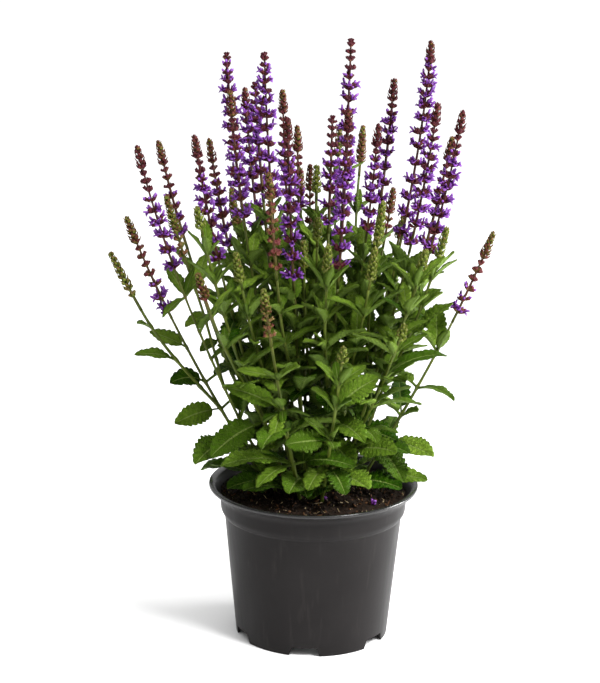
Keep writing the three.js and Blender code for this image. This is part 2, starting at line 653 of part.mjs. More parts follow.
// The square green stem of a shoot, from its start to the neck of its spike.
function stemRings(shoot) {
  return shoot.levels.map((z) => ringAt(shoot, z, squareCorners(cornerAt(shoot, z))));
}

// Eight corners of a whorl: four lobes that stand out and up, and the four clefts between them.
function whorlCorners(radius, cleft, lift, odd) {
  return [0, 1, 2, 3, 4, 5, 6, 7].map((i) => {
    const lobe = (i + odd) % 2 === 0;
    return { turn: Math.PI / 4 + (i * Math.PI) / 4, radius: lobe ? radius : cleft, lift: lobe ? lift : 0 };
  });
}

// A flower spike: whorls of florets up the stalk, and a cone of overlapping bracts and buds at the tip.
function spikeRings(shoot) {
  const { cone, whorls } = whorlsOf(shoot);
  const rings = [];
  const coneFoot = shoot.tip[2] - cone;
  let odd = 0;
  for (const { down, open, radius, step } of [...whorls].reverse()) {
    const z = shoot.tip[2] - down;
    const height = open ? OPEN_WHORL_HEIGHT : CLOSED_WHORL_HEIGHT;
    const lobes = whorlCorners(radius, radius * WHORL_CLEFT, height * WHORL_HEAD, odd);
    const rachisAt = (level) => ringAt(shoot, level, squareCorners(RACHIS_CORNER));
    if (open && step > APART_STEP) rings.push(rachisAt(z - height * RACHIS_FOOT));
    rings.push(ringAt(shoot, z - height * WHORL_FOOT, lobes));
    rings.push(rachisAt(z + height * WHORL_HEAD));
    odd = 1 - odd;
  }
  const scales = cone > LONG_CONE ? 3 : 2;
  for (let i = 0; i < scales; i++) {
    const share = (i + FIRST_SCALE) / (scales + PAST_SCALES);
    const radius = CONE_RADIUS * (1 - CONE_TAPER * share ** CONE_ROUNDING);
    const lobes = whorlCorners(radius, radius * SCALE_CLEFT, SCALE_LIFT, (odd + i) % 2);
    rings.push(ringAt(shoot, coneFoot + cone * share, lobes));
  }
  rings.push([middleAt(shoot, shoot.tip[2])]);
  return rings;
}

// The pot's outline, from the middle of its floor out, up the outside, over the rim and down the inside.
function potSolid() {
  const outline = [
    [0, FLOOR_UNDERSIDE], [FOOT_RADIUS - WALL, FLOOR_UNDERSIDE], [FOOT_RADIUS - WALL, 0],
    [FOOT_RADIUS, 0], [80.4, 113], [84, 118], [84.8, 131], [91, 137.6], [RIM_RADIUS, 139.4],
    [RIM_RADIUS - 0.8, POT_HEIGHT], [90, 141], [83.2, 132.6], [82.2, 119.4], [78.4, 113.8],
    [FOOT_RADIUS - WALL + 0.6, FLOOR_TOP], [0, FLOOR_TOP],
  ].map(([r, z]) => new THREE.Vector2(r, z));
  const pot = solidOfGeometry(new THREE.LatheGeometry(outline, POT_SIDES).rotateX(Math.PI / 2));
  const notch = new THREE.Shape([
    new THREE.Vector2(-NOTCH_FOOT_WIDTH / 2, -1),
    new THREE.Vector2(NOTCH_FOOT_WIDTH / 2, -1),
    new THREE.Vector2(NOTCH_TOP_WIDTH / 2, NOTCH_HEIGHT),
    new THREE.Vector2(-NOTCH_TOP_WIDTH / 2, NOTCH_HEIGHT),
  ]);
  const cuts = [];
  for (let i = 0; i < NOTCHES; i++) {
    const turn = NOTCH_TURN + (i * 2 * Math.PI) / NOTCHES;
    const gap = new THREE.ExtrudeGeometry(notch, { depth: NOTCH_DEPTH, bevelEnabled: false });
    gap.rotateX(Math.PI / 2).rotateZ(Math.PI / 2);
    gap.translate(FOOT_RADIUS - NOTCH_DEPTH / 2, 0, 0).rotateZ(turn);
    const drain = new THREE.BoxGeometry(DRAIN_REACH, DRAIN_WIDTH, DRAIN_HEIGHT);
    const drainAt = FOOT_RADIUS - WALL - DRAIN_INSET - DRAIN_REACH / 2;
    drain.translate(drainAt, 0, (FLOOR_UNDERSIDE + FLOOR_TOP) / 2).rotateZ(turn);
    cuts.push(solidOfGeometry(gap), solidOfGeometry(drain));
  }
  return pot.subtract(wasm.Manifold.union(cuts));
}

// How far the clods raise the soil at a place.
function clodAt(x, y) {
  const [a, b] = CLOD_WAVES.alongX;
  const [c, d] = CLOD_WAVES.alongY;
  return CLOD_HEIGHT * Math.sin(a * x + b * y) * Math.cos(c * x + d * y);
}

// The soil fills the pot to just below its rim. Its top is raised in clods, and each stem stands in a hole.
function soilSolid(mains) {
  const gap = SEAT_GAP;
  const outline = [
    [0, FLOOR_TOP + gap], [FOOT_RADIUS - WALL + 0.3 - gap, FLOOR_TOP + gap],
    [78.4 - gap, 113.8 + gap / 2], [82.2 - gap, 119.4 + gap / 2], [83.1 - gap, 132.5], [84.2 - gap, SOIL_TOP],
    [66, SOIL_TOP], [40, SOIL_TOP + 0.8], [0, SOIL_TOP + 1],
  ].map(([r, z]) => new THREE.Vector2(r, z));
  const soil = new THREE.LatheGeometry(outline, POT_SIDES).rotateX(Math.PI / 2);
  const positions = soil.getAttribute("position");
  for (let i = 0; i < positions.count; i++) {
    const [x, y, z] = [positions.getX(i), positions.getY(i), positions.getZ(i)];
    if (z > SOIL_TOP - CLOD_DEPTH && Math.hypot(x, y) < SOIL_EDGE) positions.setZ(i, z + clodAt(x, y));
  }
  const side = STEM_CORNER * Math.SQRT2 + 2 * SEAT_GAP;
  const holes = mains.map((stem) => {
    const [x, y] = middleAt(stem, STEM_FOOT);
    const hole = new THREE.BoxGeometry(side, side, HOLE_DEPTH).rotateZ(stem.outward);
    hole.translate(x, y, STEM_FOOT - SEAT_GAP + HOLE_DEPTH / 2);
    return solidOfGeometry(hole);
  });
  return solidOfGeometry(soil).subtract(wasm.Manifold.union(holes));
}

const potBlack = new THREE.MeshStandardMaterial({ color: 0x343334, roughness: 0.45, metalness: 0 });
const soilBrown = new THREE.MeshStandardMaterial({ color: 0x2a1d16, roughness: 0.95, metalness: 0 });
const leafGreen = new THREE.MeshStandardMaterial({ color: 0x3f6b1f, roughness: 0.6, metalness: 0 });
const flowerViolet = new THREE.MeshStandardMaterial({ color: 0x5a2fa8, roughness: 0.7, metalness: 0 });
const calyxPlum = new THREE.MeshStandardMaterial({ color: 0x5b3a3c, roughness: 0.75, metalness: 0 });
const SPIKE_MATERIALS = { bloom: flowerViolet, late: flowerViolet, calyx: calyxPlum };

const shoots = growShoots();
const leaves = shoots.flatMap((shoot) => leavesOf(shoot, shoots));
const solidLeaves = settleLeaves(leaves, obstaclesOf(shoots));
const plant = new THREE.Group();
const numbered = (name, number) => `${name}_${String(number + 1).padStart(2, "0")}`;

plant.add(meshOf("pot", potSolid(), potBlack));
plant.add(meshOf("potting_soil", soilSolid(shoots.filter((shoot) => !shoot.parent)), soilBrown));
STEMS.forEach((_, stem) => {
  const own = shoots.filter((shoot) => shoot.stem === stem);
  const pieces = own.map((shoot) =>
    solidOfRings([...stemRings(shoot), ...(shoot.look === "green" ? spikeRings(shoot) : [])]),
  );
  solidLeaves.filter((leaf) => leaf.shoot.stem === stem).forEach((leaf) => pieces.push(leafSolid(leaf)));
  plant.add(meshOf(numbered("leafy_stem", stem), wasm.Manifold.union(pieces), leafGreen));
});
shoots
  .filter((shoot) => shoot.look !== "green")
  .forEach((shoot, number) => {
    const foot = shoot.neck + SEAT_GAP;
    const footRing = ringAt(shoot, foot, squareCorners(cornerAt(shoot, foot)));
    const spike = solidOfRings([footRing, ...spikeRings(shoot)]);
    plant.add(meshOf(numbered("flower_spike", number), spike, SPIKE_MATERIALS[shoot.look]));
  });

// The origin is the middle of the whole object's footprint, on the surface that the pot stands on.
const box = new THREE.Box3().setFromObject(plant);
plant.position.set(-(box.min.x + box.max.x) / 2, -(box.min.y + box.max.y) / 2, 0);

export default plant;
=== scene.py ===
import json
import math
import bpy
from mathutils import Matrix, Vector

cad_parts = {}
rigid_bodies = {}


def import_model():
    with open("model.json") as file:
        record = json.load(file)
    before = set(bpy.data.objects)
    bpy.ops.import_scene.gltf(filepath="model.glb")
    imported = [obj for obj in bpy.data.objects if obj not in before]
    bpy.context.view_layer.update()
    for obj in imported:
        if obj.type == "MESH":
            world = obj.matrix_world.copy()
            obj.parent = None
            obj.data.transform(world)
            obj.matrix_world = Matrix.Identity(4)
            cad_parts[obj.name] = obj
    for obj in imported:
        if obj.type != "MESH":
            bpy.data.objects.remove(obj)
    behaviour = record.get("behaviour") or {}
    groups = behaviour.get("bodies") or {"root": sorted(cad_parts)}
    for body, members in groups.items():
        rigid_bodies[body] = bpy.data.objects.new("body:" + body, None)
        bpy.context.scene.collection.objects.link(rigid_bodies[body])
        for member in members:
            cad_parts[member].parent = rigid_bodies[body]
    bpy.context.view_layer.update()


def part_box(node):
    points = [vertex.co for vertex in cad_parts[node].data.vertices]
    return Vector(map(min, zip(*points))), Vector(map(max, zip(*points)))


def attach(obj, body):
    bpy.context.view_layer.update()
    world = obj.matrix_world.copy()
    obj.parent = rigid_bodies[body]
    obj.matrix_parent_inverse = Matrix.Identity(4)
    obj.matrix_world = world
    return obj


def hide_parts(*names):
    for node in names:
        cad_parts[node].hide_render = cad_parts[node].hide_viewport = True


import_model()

# A potted woodland sage: square leafy stems and whorled violet flower spikes in a round dark nursery pot.
# Shapes are worked out in millimetres round the pot's axis, and turned into metres as each mesh is made.
from types import SimpleNamespace

import bpy
import numpy as np
from mathutils import Matrix

MM = 0.001
POT_LOW, POT_HIGH = (np.array(corner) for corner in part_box("pot"))
POT_AXIS = np.array([(POT_LOW[0] + POT_HIGH[0]) / 2, (POT_LOW[1] + POT_HIGH[1]) / 2, POT_LOW[2]])

# Driving dimensions of the pot and its soil.
RIM_RADIUS = 95
POT_HEIGHT = 142
FOOT_RADIUS = 69.2
WALL_TOP_RADIUS = 80.4
WALL_TOP = 113
WALL = 1.8
FLOOR_UNDERSIDE = 8
FLOOR_TOP = 10
NOTCHES = 6
NOTCH_TURN = math.radians(-95.4)
NOTCH_FOOT_WIDTH = 28
NOTCH_TOP_WIDTH = 22
NOTCH_HEIGHT = 8.4
DRAIN_WIDTH = 9
DRAIN_REACH = 17
SOIL_TOP = 134
SOIL_RADIUS = 83.8

# Driving dimensions of the stems.
STEM_FOOT = 118
STEM_FREE = 138
FULL_HEIGHT = 560
CROWN_SHARE = 0.2
STRAIGHTENING = 1.6
STEM_CORNER = 2.1
SHOOT_CORNER = 1.6
NECK_CORNER = 1.25
RACHIS_CORNER = 1.5
TIP_CORNER = 0.9
FIRST_JOINT = 147
FIRST_SHOOT_JOINT = 24
JOINT_STEP = 28.5
JOINT_JITTER = 6
BRANCH_SPREAD = 1.6
SHORTEST_BRANCH_BEND = 45
LAST_JOINT_TO_NECK = 6

# Driving dimensions of the leaves: at the foot of the clump, and at the top of it. A small taper makes a
# blunt tip.
LOW_LEAF = SimpleNamespace(
    height=140, length=70, broad=0.42, pitch=14, droop=34, stalk=0.3, swell=0.5, taper=0.56
)
HIGH_LEAF = SimpleNamespace(
    height=380, length=31, broad=0.34, pitch=62, droop=6, stalk=0.08, swell=0.6, taper=0.95
)
LEAF_SIZES = (0.86, 1.14)
SHOOT_LEAF_SIZE = 0.82
DROOP_RANGE = 30
PITCH_RANGE = 24
ROLL_RANGE = 36
TURN_RANGE = 24
LEAF_FOLD = 0.32
STALK_HALF_WIDTH = 0.9
LARGE_LEAF = 45
SIDE_VEINS = 9.0
VEIN_SLANT = 1.7

# The looks of a spike: the length of its tip, where its open flowers begin, as a share from the tip down, and
# how ripe its tip and its foot are.
LOOKS = {
    "bloom": SimpleNamespace(cone=18, flowers_from=0.26, ripe_tip=0.72, ripe_foot=0.86),
    "late": SimpleNamespace(cone=20, flowers_from=0.48, ripe_tip=0.42, ripe_foot=0.76),
    "calyx": SimpleNamespace(cone=22, flowers_from=0.76, ripe_tip=0.34, ripe_foot=0.6),
    "green": SimpleNamespace(cone=32, flowers_from=9, ripe_tip=0.16, ripe_foot=0.08),
}
# Where the open flowers of a stem's own spike begin, where they don't begin as its look has it.
FIRST_FLOWERS = {
    2: 0.44, 3: 0.62, 4: 0.38, 6: 0.15, 7: 0.45, 8: 0.12, 9: 0.2, 10: 0.14, 11: 0.42, 12: 0.33, 16: 0.38,
    17: 0.24, 18: 0.3, 20: 0.37, 21: 0.32, 22: 0.13, 23: 0.31, 24: 0.34,
}
# The spikes that are riper or greener than their look has them, by stem and shoot: how ripe tip and foot are.
OWN_RIPENESS = {
    (1, 1): (0.26, 0.3), (2, 1): (0.34, 0.36), (3, 0): (0.5, 0.74), (6, 1): (0.42, 0.42),
    (12, 1): (0.46, 0.52), (13, 0): (0.16, 0.38), (14, 0): (0.56, 0.66), (15, 0): (0.56, 0.6),
    (17, 1): (0.32, 0.36), (21, 1): (0.5, 0.56), (21, 2): (0.5, 0.6), (22, 2): (0.45, 0.45),
}
# The stems whose spikes have loose whorls up to the tip, and no cone.
LOOSE_TIPS = (6, 9, 10, 16, 17)
LOOSE_CONE = 4
CONE_RADIUS = 3.8
CALYX_RADIUS = 5.2
FLOWER_RADIUS = 9.6
WHORL_STEP = 6
WIDEST_STEP = 15.5
WHORL_GROWTH = 1.12
WHORL_END = 7

# Each stem from the soil as (tip, spike length, look), with the shoots that branch from its joints, which
# add the number of their joint. A tip is where the spike ends.
STEMS = [
    (((-171, 28, 380), 93, "calyx"), [((-182, -12, 356), 54, "green", 2)]),
    (((-156, -35, 455), 121, "bloom"), [((-134, 10, 403), 69, "green", 3)]),
    (((-144, 62, 443), 99, "late"), []),
    (((-106, -48, 467), 127, "bloom"), [
        ((-103, -72, 410), 26, "green", 3),
        ((-101, -98, 358), 35, "calyx", 2),
    ]),
    (((-100, 100, 439), 106, "late"), []),
    (((-82, 42, 525), 155, "bloom"), [((-77, 18, 409), 45, "green", 4)]),
    (((-77, -14, 500), 123, "late"), [((-70, -70, 370), 35, "green", 2)]),
    (((-67, 88, 488), 138, "bloom"), []),
    (((-57, 50, 498), 107, "bloom"), []),
    (((-48, 8, 530), 144, "bloom"), []),
    (((-33, 112, 483), 132, "late"), [((-16, 140, 406), 42, "calyx", 4)]),
    (((-27, -52, 483), 155, "bloom"), [((-42, -88, 443), 97, "calyx", 3)]),
    (((-45, -118, 350), 55, "calyx"), []),
    (((-19, 70, 457), 88, "calyx"), [((-1, 48, 425), 33, "green", 4)]),
    (((-7, 100, 416), 63, "calyx"), []),
    (((12, 12, 475), 105, "bloom"), [((0, -16, 390), 27, "green", 3), ((-12, -28, 372), 33, "green", 2)]),
    (((28, 62, 536), 174, "bloom"), [((20, 112, 451), 38, "green", 5)]),
    (((25, -50, 491), 160, "bloom"), [((9, -82, 381), 34, "green", 3)]),
    (((23, -112, 300), 20, "green"), []),
    (((52, -2, 471), 111, "bloom"), [((49, -82, 379), 40, "green", 2)]),
    (((67, 52, 503), 124, "bloom"), [((42, 122, 449), 47, "green", 4), ((71, 108, 394), 56, "calyx", 3)]),
    (((97, 20, 541), 191, "bloom"), [((56, -48, 412), 54, "green", 3), ((79, 72, 375), 28, "green", 3)]),
    (((101, -34, 495), 134, "bloom"), [((92, -80, 377), 24, "green", 3), ((75, -92, 315), 20, "green", 1)]),
    (((125, -4, 484), 138, "bloom"), [((111, -52, 391), 37, "green", 3)]),
    (((121, 62, 450), 114, "late"), []),
    (((157, 12, 374), 84, "calyx"), []),
]

# The leaves that show most from the front, each as its stem, shoot, joint, azimuth, pitch, droop, roll,
# length and width. Angles are in degrees.
POSED_LEAVES = [
    (1, 0, 2, -145, 5, 25, -60, 50, 22), (1, 0, 3, -150, 35, 60, -45, 38, 20),
    (1, 0, 4, 156, 25, 20, -40, 40, 16), (1, 1, 1, -153, 30, 35, -35, 42, 13),
    (1, 1, 2, -120, 30, 20, -20, 24, 9), (2, 0, 0, 178, 24, 20, -5, 58, 22),
    (2, 0, 5, -64, 50, 15, 30, 42, 20), (2, 0, 6, -138, -20, 20, 0, 30, 13),
    (3, 0, 4, -132, 0, 30, -30, 26, 12), (3, 0, 5, -162, -5, 40, -30, 26, 15),
    (4, 0, 0, -147, 18, 30, -25, 62, 24), (4, 0, 2, -147, -6, 35, -45, 62, 28),
    (13, 0, 0, -163, 16, 27, -10, 58, 25), (13, 0, 0, -75, 30, 55, 0, 34, 20),
    (13, 0, 3, 176, 33, 25, -50, 54, 19), (13, 0, 3, -103, -10, 40, 0, 42, 15),
    (13, 0, 4, 179, 21, 20, -35, 36, 13), (13, 0, 4, -53, 40, 20, 30, 38, 13),
    (19, 0, 0, -160, 30, 45, 0, 24, 12), (19, 0, 0, 20, 30, 45, 0, 24, 12),
    (19, 0, 1, -125, 0, 55, -10, 34, 22), (19, 0, 1, -60, 0, 55, 10, 38, 23),
    (19, 0, 2, 182, 2, 15, -55, 42, 24), (19, 0, 2, -165, 52, 20, -40, 34, 13),
    (19, 0, 3, 10, 51, 30, 50, 48, 24), (19, 0, 3, -144, 57, 30, -30, 36, 16),
    (19, 0, 4, -145, 56, 20, -45, 36, 14), (19, 0, 4, 10, 47, 20, 45, 30, 13),
    (23, 0, 0, -24, 20, 35, 20, 62, 26), (23, 0, 1, -42, 26, 30, 40, 56, 26),
    (23, 2, 2, 6, 50, 60, 20, 62, 17), (23, 2, 3, 10, 40, 20, 25, 34, 12),
    (24, 1, 0, -36, 35, 20, 40, 38, 13), (24, 1, 1, -24, 50, 15, 30, 56, 22),
    (24, 1, 2, -42, 45, 15, 30, 30, 13), (26, 0, 0, -6, 15, 30, 40, 60, 17),
    (26, 0, 1, -46, 19, 35, 25, 62, 24), (26, 0, 2, -59, 32, 20, 30, 30, 14),
    (26, 0, 3, -52, 22, 45, 0, 52, 14), (26, 0, 4, -60, 60, 15, -30, 30, 12),
]

# The ways in which a leaf is turned, lifted and shortened until it clears its neighbours.
LEAF_TRIES = [
    (0, 0, 1), (15, 5, 1), (-15, 5, 1), (0, 16, 0.95), (30, 8, 0.92), (-30, 8, 0.92), (0, 30, 0.9),
    (45, 15, 0.85), (-45, 15, 0.85), (0, -14, 0.85), (20, 40, 0.8), (-20, 40, 0.8), (60, 10, 0.75),
    (-60, 10, 0.75), (0, 50, 0.7),
]
LEAF_TO_LEAF = 5.6
LEAF_TO_STEM = 6.4
LEAF_TO_SPIKE = 3.2
LEAF_OVER_RIM = 3
LEAF_OVER_SOIL = 4
RIM_ZONE = 21
FLOWER_ZONE = 6
FILLER_CLEARANCE = 0.42

# Where a leaf is tested, along it and across it, the step between the points of a shoot that it has to clear,
# and how far beyond its own length those are looked for.
TESTED_ALONG = np.arange(2, 11) / 10
TESTED_ACROSS = np.arange(-1, 1.1, 0.5)
TESTED_STEP = 6
TESTED_BEYOND = 16

# A leaf of the frame is drawn by chance, the likelier the more it stands out of the clump or the lower it is.
SOLID_LEAF_SHARE = 0.37
INNER_LEAF_WEIGHT = 0.5
OUTER_LEAF_WEIGHT = 0.75
LOW_LEAF_WEIGHT = 0.4
LOW_JOINTS = 215
CLUMP_RADIUS = 110

# Where the clump is open at its sides, and only posed leaves stand. Reaches are those at full spread.
OPEN_HEIGHTS = (185, 335)
OPEN_REACHES = (-140, 175)
LEAF_MIDDLE = 0.7

# The smaller leaves beside each leaf of a pair: how far round from it, their size against it, and their lift.
TUFT_LEAVES = [(0.45, 0.5, 20), (1.45, 0.72, 6)]
TUFT_SIZES = (0.8, 1.2)
TUFT_TURN_SPREAD = 0.25
TUFT_LIFT_SPREAD = 8
TUFT_ROLL_SPREAD = 0.3
SHORTEST_TUFT_LEAF = 30
TUFT_TRIES = 5
FILLER_GROWTH = 1.14

# The seeds of what is drawn by chance. Each stem and each spike adds its number to its own.
TUFT_SEED = 7
SOIL_SEED = 41
STEM_SEED = 500
SPIKE_SEED = 900

# The finishes, by their place in the list of materials. A point is shaded by its place on its leaf, bell or
# petal, and by its tint: how light or ripe it is, and whether it is on an edge, an underside or a stalk.
LEAF, STEM, CALYX, PETAL = range(4)


def lerp(a, b, t):
    return a + (b - a) * t


def clamp(value, low, high):
    return max(low, min(high, value))


def smooth_step(value):
    t = np.clip(value, 0, 1)
    return t * t * (3 - 2 * t)


def seeded(seed):
    """A generator of draws from 0 to 1, the same as the one that lays out the frame's stems and leaves."""
    state = ((seed + 1) * 2654435761) & 0xFFFFFFFF

    def draw():
        nonlocal state
        state = (state * 1664525 + 1013904223) & 0xFFFFFFFF
        return state / 4294967296

    return draw


def spread_at(z):
    """The share of its full spread that the clump has at a height."""
    rise = np.clip((z - STEM_FREE) / (FULL_HEIGHT - STEM_FREE), 0, 1)
    return CROWN_SHARE + (1 - CROWN_SHARE) * (1 - (1 - rise) ** STRAIGHTENING)


class Shoot:
    """A stem from the soil, or a side shoot that leaves its parent at one of its joints."""

    def __init__(self, row, stem, parent, side, number):
        tip, spike, look = row[:3]
        self.tip, self.spike, self.look = tip, spike, look
        self.stem, self.parent, self.side = stem, parent, side
        self.joint = row[3] if parent else None
        self.plan = np.array(tip[:2]) / spread_at(tip[2])
        self.away = self.plan - parent.plan if parent else self.plan
        self.start = parent.joints[self.joint] if parent else STEM_FOOT
        self.neck = tip[2] - spike
        reach = BRANCH_SPREAD * math.hypot(*self.away)
        self.bend = min(max(reach, SHORTEST_BRANCH_BEND), tip[2] - self.start)
        self.outward = math.atan2(self.away[1], self.away[0])
        self.draw = seeded(number)
        self.joints = self.joint_heights()

    def joint_heights(self):
        heights = []
        z = self.start + FIRST_SHOOT_JOINT if self.parent else FIRST_JOINT
        while z < self.neck - LAST_JOINT_TO_NECK:
            heights.append(z + (self.draw() - 0.5) * JOINT_JITTER)
            z += JOINT_STEP
        return heights

    def middle(self, z):
        """The middle line at a height or an array of heights."""
        z = np.asarray(z, float)
        spread = spread_at(z)
        plan = self.plan
        if self.parent:
            gone = 1 - (1 - np.clip((z - self.start) / self.bend, 0, 1)) ** 2
            plan = self.parent.plan + self.away * gone[..., None]
        return np.concatenate([plan * spread[..., None] * np.ones(z.shape + (1,)), z[..., None]], -1)

    def axes(self, z):
        """Along the middle line at each height, and square to it: right and back."""
        z = np.asarray(z, float)
        along = unit(self.middle(z + 0.5) - self.middle(z - 0.5))
        right = unit(np.array([1.0, 0, 0]) - along * along[..., :1])
        return along, right, np.cross(along, right)

    def corner(self, z):
        foot = SHOOT_CORNER if self.parent else STEM_CORNER
        return lerp(foot, NECK_CORNER, np.clip((z - self.start) / (self.neck - self.start), 0, 1))


def unit(vectors):
    return vectors / np.linalg.norm(vectors, axis=-1, keepdims=True)


def grow_shoots():
    shoots = []
    for stem, (main_row, side_rows) in enumerate(STEMS):
        main = Shoot(main_row, stem, None, 0, len(shoots))
        shoots.append(main)
        for side, row in enumerate(side_rows, 1):
            shoots.append(Shoot(row, stem, main, side, len(shoots)))
    return shoots


def leaf_measure(name, up):
    """A measure of the leaves, a share of the way from those at the clump's foot to those at its top."""
    return lerp(getattr(LOW_LEAF, name), getattr(HIGH_LEAF, name), up)


def leaves_of(shoot, shoots):
    """The pair of leaves at each joint, crosswise to the pair below. Posed leaves take their place in it."""
    leaves = []
    facing = math.atan2(shoot.plan[1], shoot.plan[0])
    radius = math.hypot(*shoot.plan)
    for joint, z in enumerate(shoot.joints):
        branch = next((other for other in shoots if other.parent is shoot and other.joint == joint), None)
        posed = [row[3:] for row in POSED_LEAVES if row[:3] == (shoot.stem + 1, shoot.side, joint)]
        turned = math.radians(TURN_RANGE) * (shoot.draw() - 0.5)
        azimuth = shoot.outward + (joint % 2) * (math.pi / 2) + turned
        if branch:
            azimuth = branch.outward
        if posed:
            azimuth = math.radians(posed[0][0])
        up = clamp((z - LOW_LEAF.height) / (HIGH_LEAF.height - LOW_LEAF.height), 0, 1)
        for side in (0, 1):
            length = leaf_measure("length", up) * lerp(*LEAF_SIZES, shoot.draw())
            pitch = leaf_measure("pitch", up) + PITCH_RANGE * (shoot.draw() - 0.5)
            droop = leaf_measure("droop", up) + DROOP_RANGE * shoot.draw()
            leaf = SimpleNamespace(
                shoot=shoot,
                base=shoot.middle(z),
                azimuth=azimuth + side * math.pi,
                length=length * (SHOOT_LEAF_SIZE if shoot.parent else 1),
                pitch=math.radians(pitch),
                droop=math.radians(droop),
                roll=math.radians(ROLL_RANGE) * (shoot.draw() - 0.5),
                stalk=leaf_measure("stalk", math.sqrt(up)),
                swell=leaf_measure("swell", math.sqrt(up)),
                taper=leaf_measure("taper", math.sqrt(up)),
                up=up,
                posed=False,
                tuft=False,
            )
            leaf.width = leaf.length * leaf_measure("broad", up)
            shown = math.cos(leaf.azimuth - facing) * min(1, radius / CLUMP_RADIUS)
            lowest = LOW_LEAF_WEIGHT if z < LOW_JOINTS else 0
            weight = INNER_LEAF_WEIGHT + OUTER_LEAF_WEIGHT * shown + lowest
            leaf.solid = shoot.draw() < SOLID_LEAF_SHARE * weight
            if side < len(posed):
                leaf.azimuth, leaf.pitch, leaf.droop, leaf.roll = map(math.radians, posed[side][:4])
                leaf.length, leaf.width = posed[side][4:]
                leaf.solid = leaf.posed = True
            if in_opening(leaf) and not leaf.posed:
                continue
            if not leaf.solid:
                leaf.length *= FILLER_GROWTH
                leaf.width *= FILLER_GROWTH
            leaves.append(leaf)
    return leaves


def tufts_of(leaves):
    """The smaller leaves that crowd the joints: in the corner of each leaf, and crosswise to the pair."""
    chance = np.random.default_rng(TUFT_SEED)
    tufts = []
    for leaf in leaves:
        for turn, size, lift in TUFT_LEAVES:
            tuft = SimpleNamespace(**vars(leaf))
            tuft.solid, tuft.posed, tuft.tuft = False, False, True
            grown = size * chance.uniform(*TUFT_SIZES) * max(leaf.length, SHORTEST_TUFT_LEAF)
            tuft.length, tuft.width = grown, grown * leaf.width / leaf.length
            tuft.azimuth = leaf.azimuth + turn + chance.normal(0, TUFT_TURN_SPREAD)
            tuft.pitch = leaf.pitch + math.radians(lift + chance.normal(0, TUFT_LIFT_SPREAD))
            tuft.roll = chance.normal(0, TUFT_ROLL_SPREAD)
            if not in_opening(tuft):
                tufts.append(tuft)
    return tufts


def blade_shape(leaf, t):
    """How broad a leaf is at a share of its blade, against its greatest half width."""
    widest = leaf.swell / (leaf.swell + leaf.taper)
    full = widest**leaf.swell * (1 - widest) ** leaf.taper
    return (t**leaf.swell * (1 - t) ** leaf.taper) / full


def leaf_points(leaf, along, across, lift=0.0, cut=1.0):
    """Points of a leaf: along runs from stem to tip, across from edge to edge, and lift is off the blade."""
    pitch = leaf.pitch - leaf.droop * along
    out = leaf.length * (math.sin(leaf.pitch) - np.sin(pitch)) / leaf.droop
    rise = leaf.length * (np.cos(pitch) - math.cos(leaf.pitch)) / leaf.droop
    blade = np.clip((along - leaf.stalk) / (1 - leaf.stalk), 0, 1)
    stalk_half = np.where(along < 1, STALK_HALF_WIDTH, 0)
    half = np.maximum(blade_shape(leaf, blade) * cut * leaf.width / 2, stalk_half)
    sideways = across * half * math.cos(LEAF_FOLD)
    raised = np.abs(across) * half * math.sin(LEAF_FOLD) + lift
    to_side = sideways * math.cos(leaf.roll) - raised * math.sin(leaf.roll)
    to_face = sideways * math.sin(leaf.roll) + raised * math.cos(leaf.roll)
    ahead = (math.cos(leaf.azimuth), math.sin(leaf.azimuth))
    flat = out - to_face * np.sin(pitch)
    return np.stack([
        leaf.base[0] + ahead[0] * flat - ahead[1] * to_side,
        leaf.base[1] + ahead[1] * flat + ahead[0] * to_side,
        leaf.base[2] + rise + to_face * np.cos(pitch),
    ], -1)


def in_opening(leaf):
    x, _, z = leaf_points(leaf, np.array([LEAF_MIDDLE]), np.array([0.0]))[0]
    reach = x / spread_at(z)
    aside = reach < OPEN_REACHES[0] or reach > OPEN_REACHES[1]
    return aside and OPEN_HEIGHTS[0] < z < OPEN_HEIGHTS[1]


def girth_at(shoot, z):
    """How far a shoot's spike reaches from its middle line at a height."""
    down = shoot.tip[2] - z
    if down > shoot.spike:
        return 0
    if down > LOOKS[shoot.look].flowers_from * shoot.spike - FLOWER_ZONE:
        return FLOWER_RADIUS
    return CALYX_RADIUS


def clears_pot(points):
    radius = np.hypot(points[:, 0], points[:, 1])
    over_rim = points[:, 2] > POT_HEIGHT + LEAF_OVER_RIM
    over_soil = points[:, 2] > SOIL_TOP + LEAF_OVER_SOIL
    inside = np.where(radius > RIM_RADIUS - RIM_ZONE, over_rim, over_soil)
    return np.all((radius > RIM_RADIUS + LEAF_OVER_RIM) | inside)


def stem_points(shoots):
    """Points up the middle of each shoot, how far a leaf keeps from each, and whose leaves needn't.

    These are the stem's own leaves, by its number, but none at a flowering spike, which has -1."""
    places, gaps, owners = [], [], []
    for shoot in shoots:
        for z in np.arange(max(shoot.start, STEM_FREE), shoot.tip[2], TESTED_STEP):
            girth = girth_at(shoot, z)
            own_spike = girth > 0 and shoot.look != "green"
            places.append(shoot.middle(z))
            gaps.append(girth + LEAF_TO_SPIKE if girth > 0 else LEAF_TO_STEM)
            owners.append(-1 if own_spike else shoot.stem)
    return places, gaps, owners


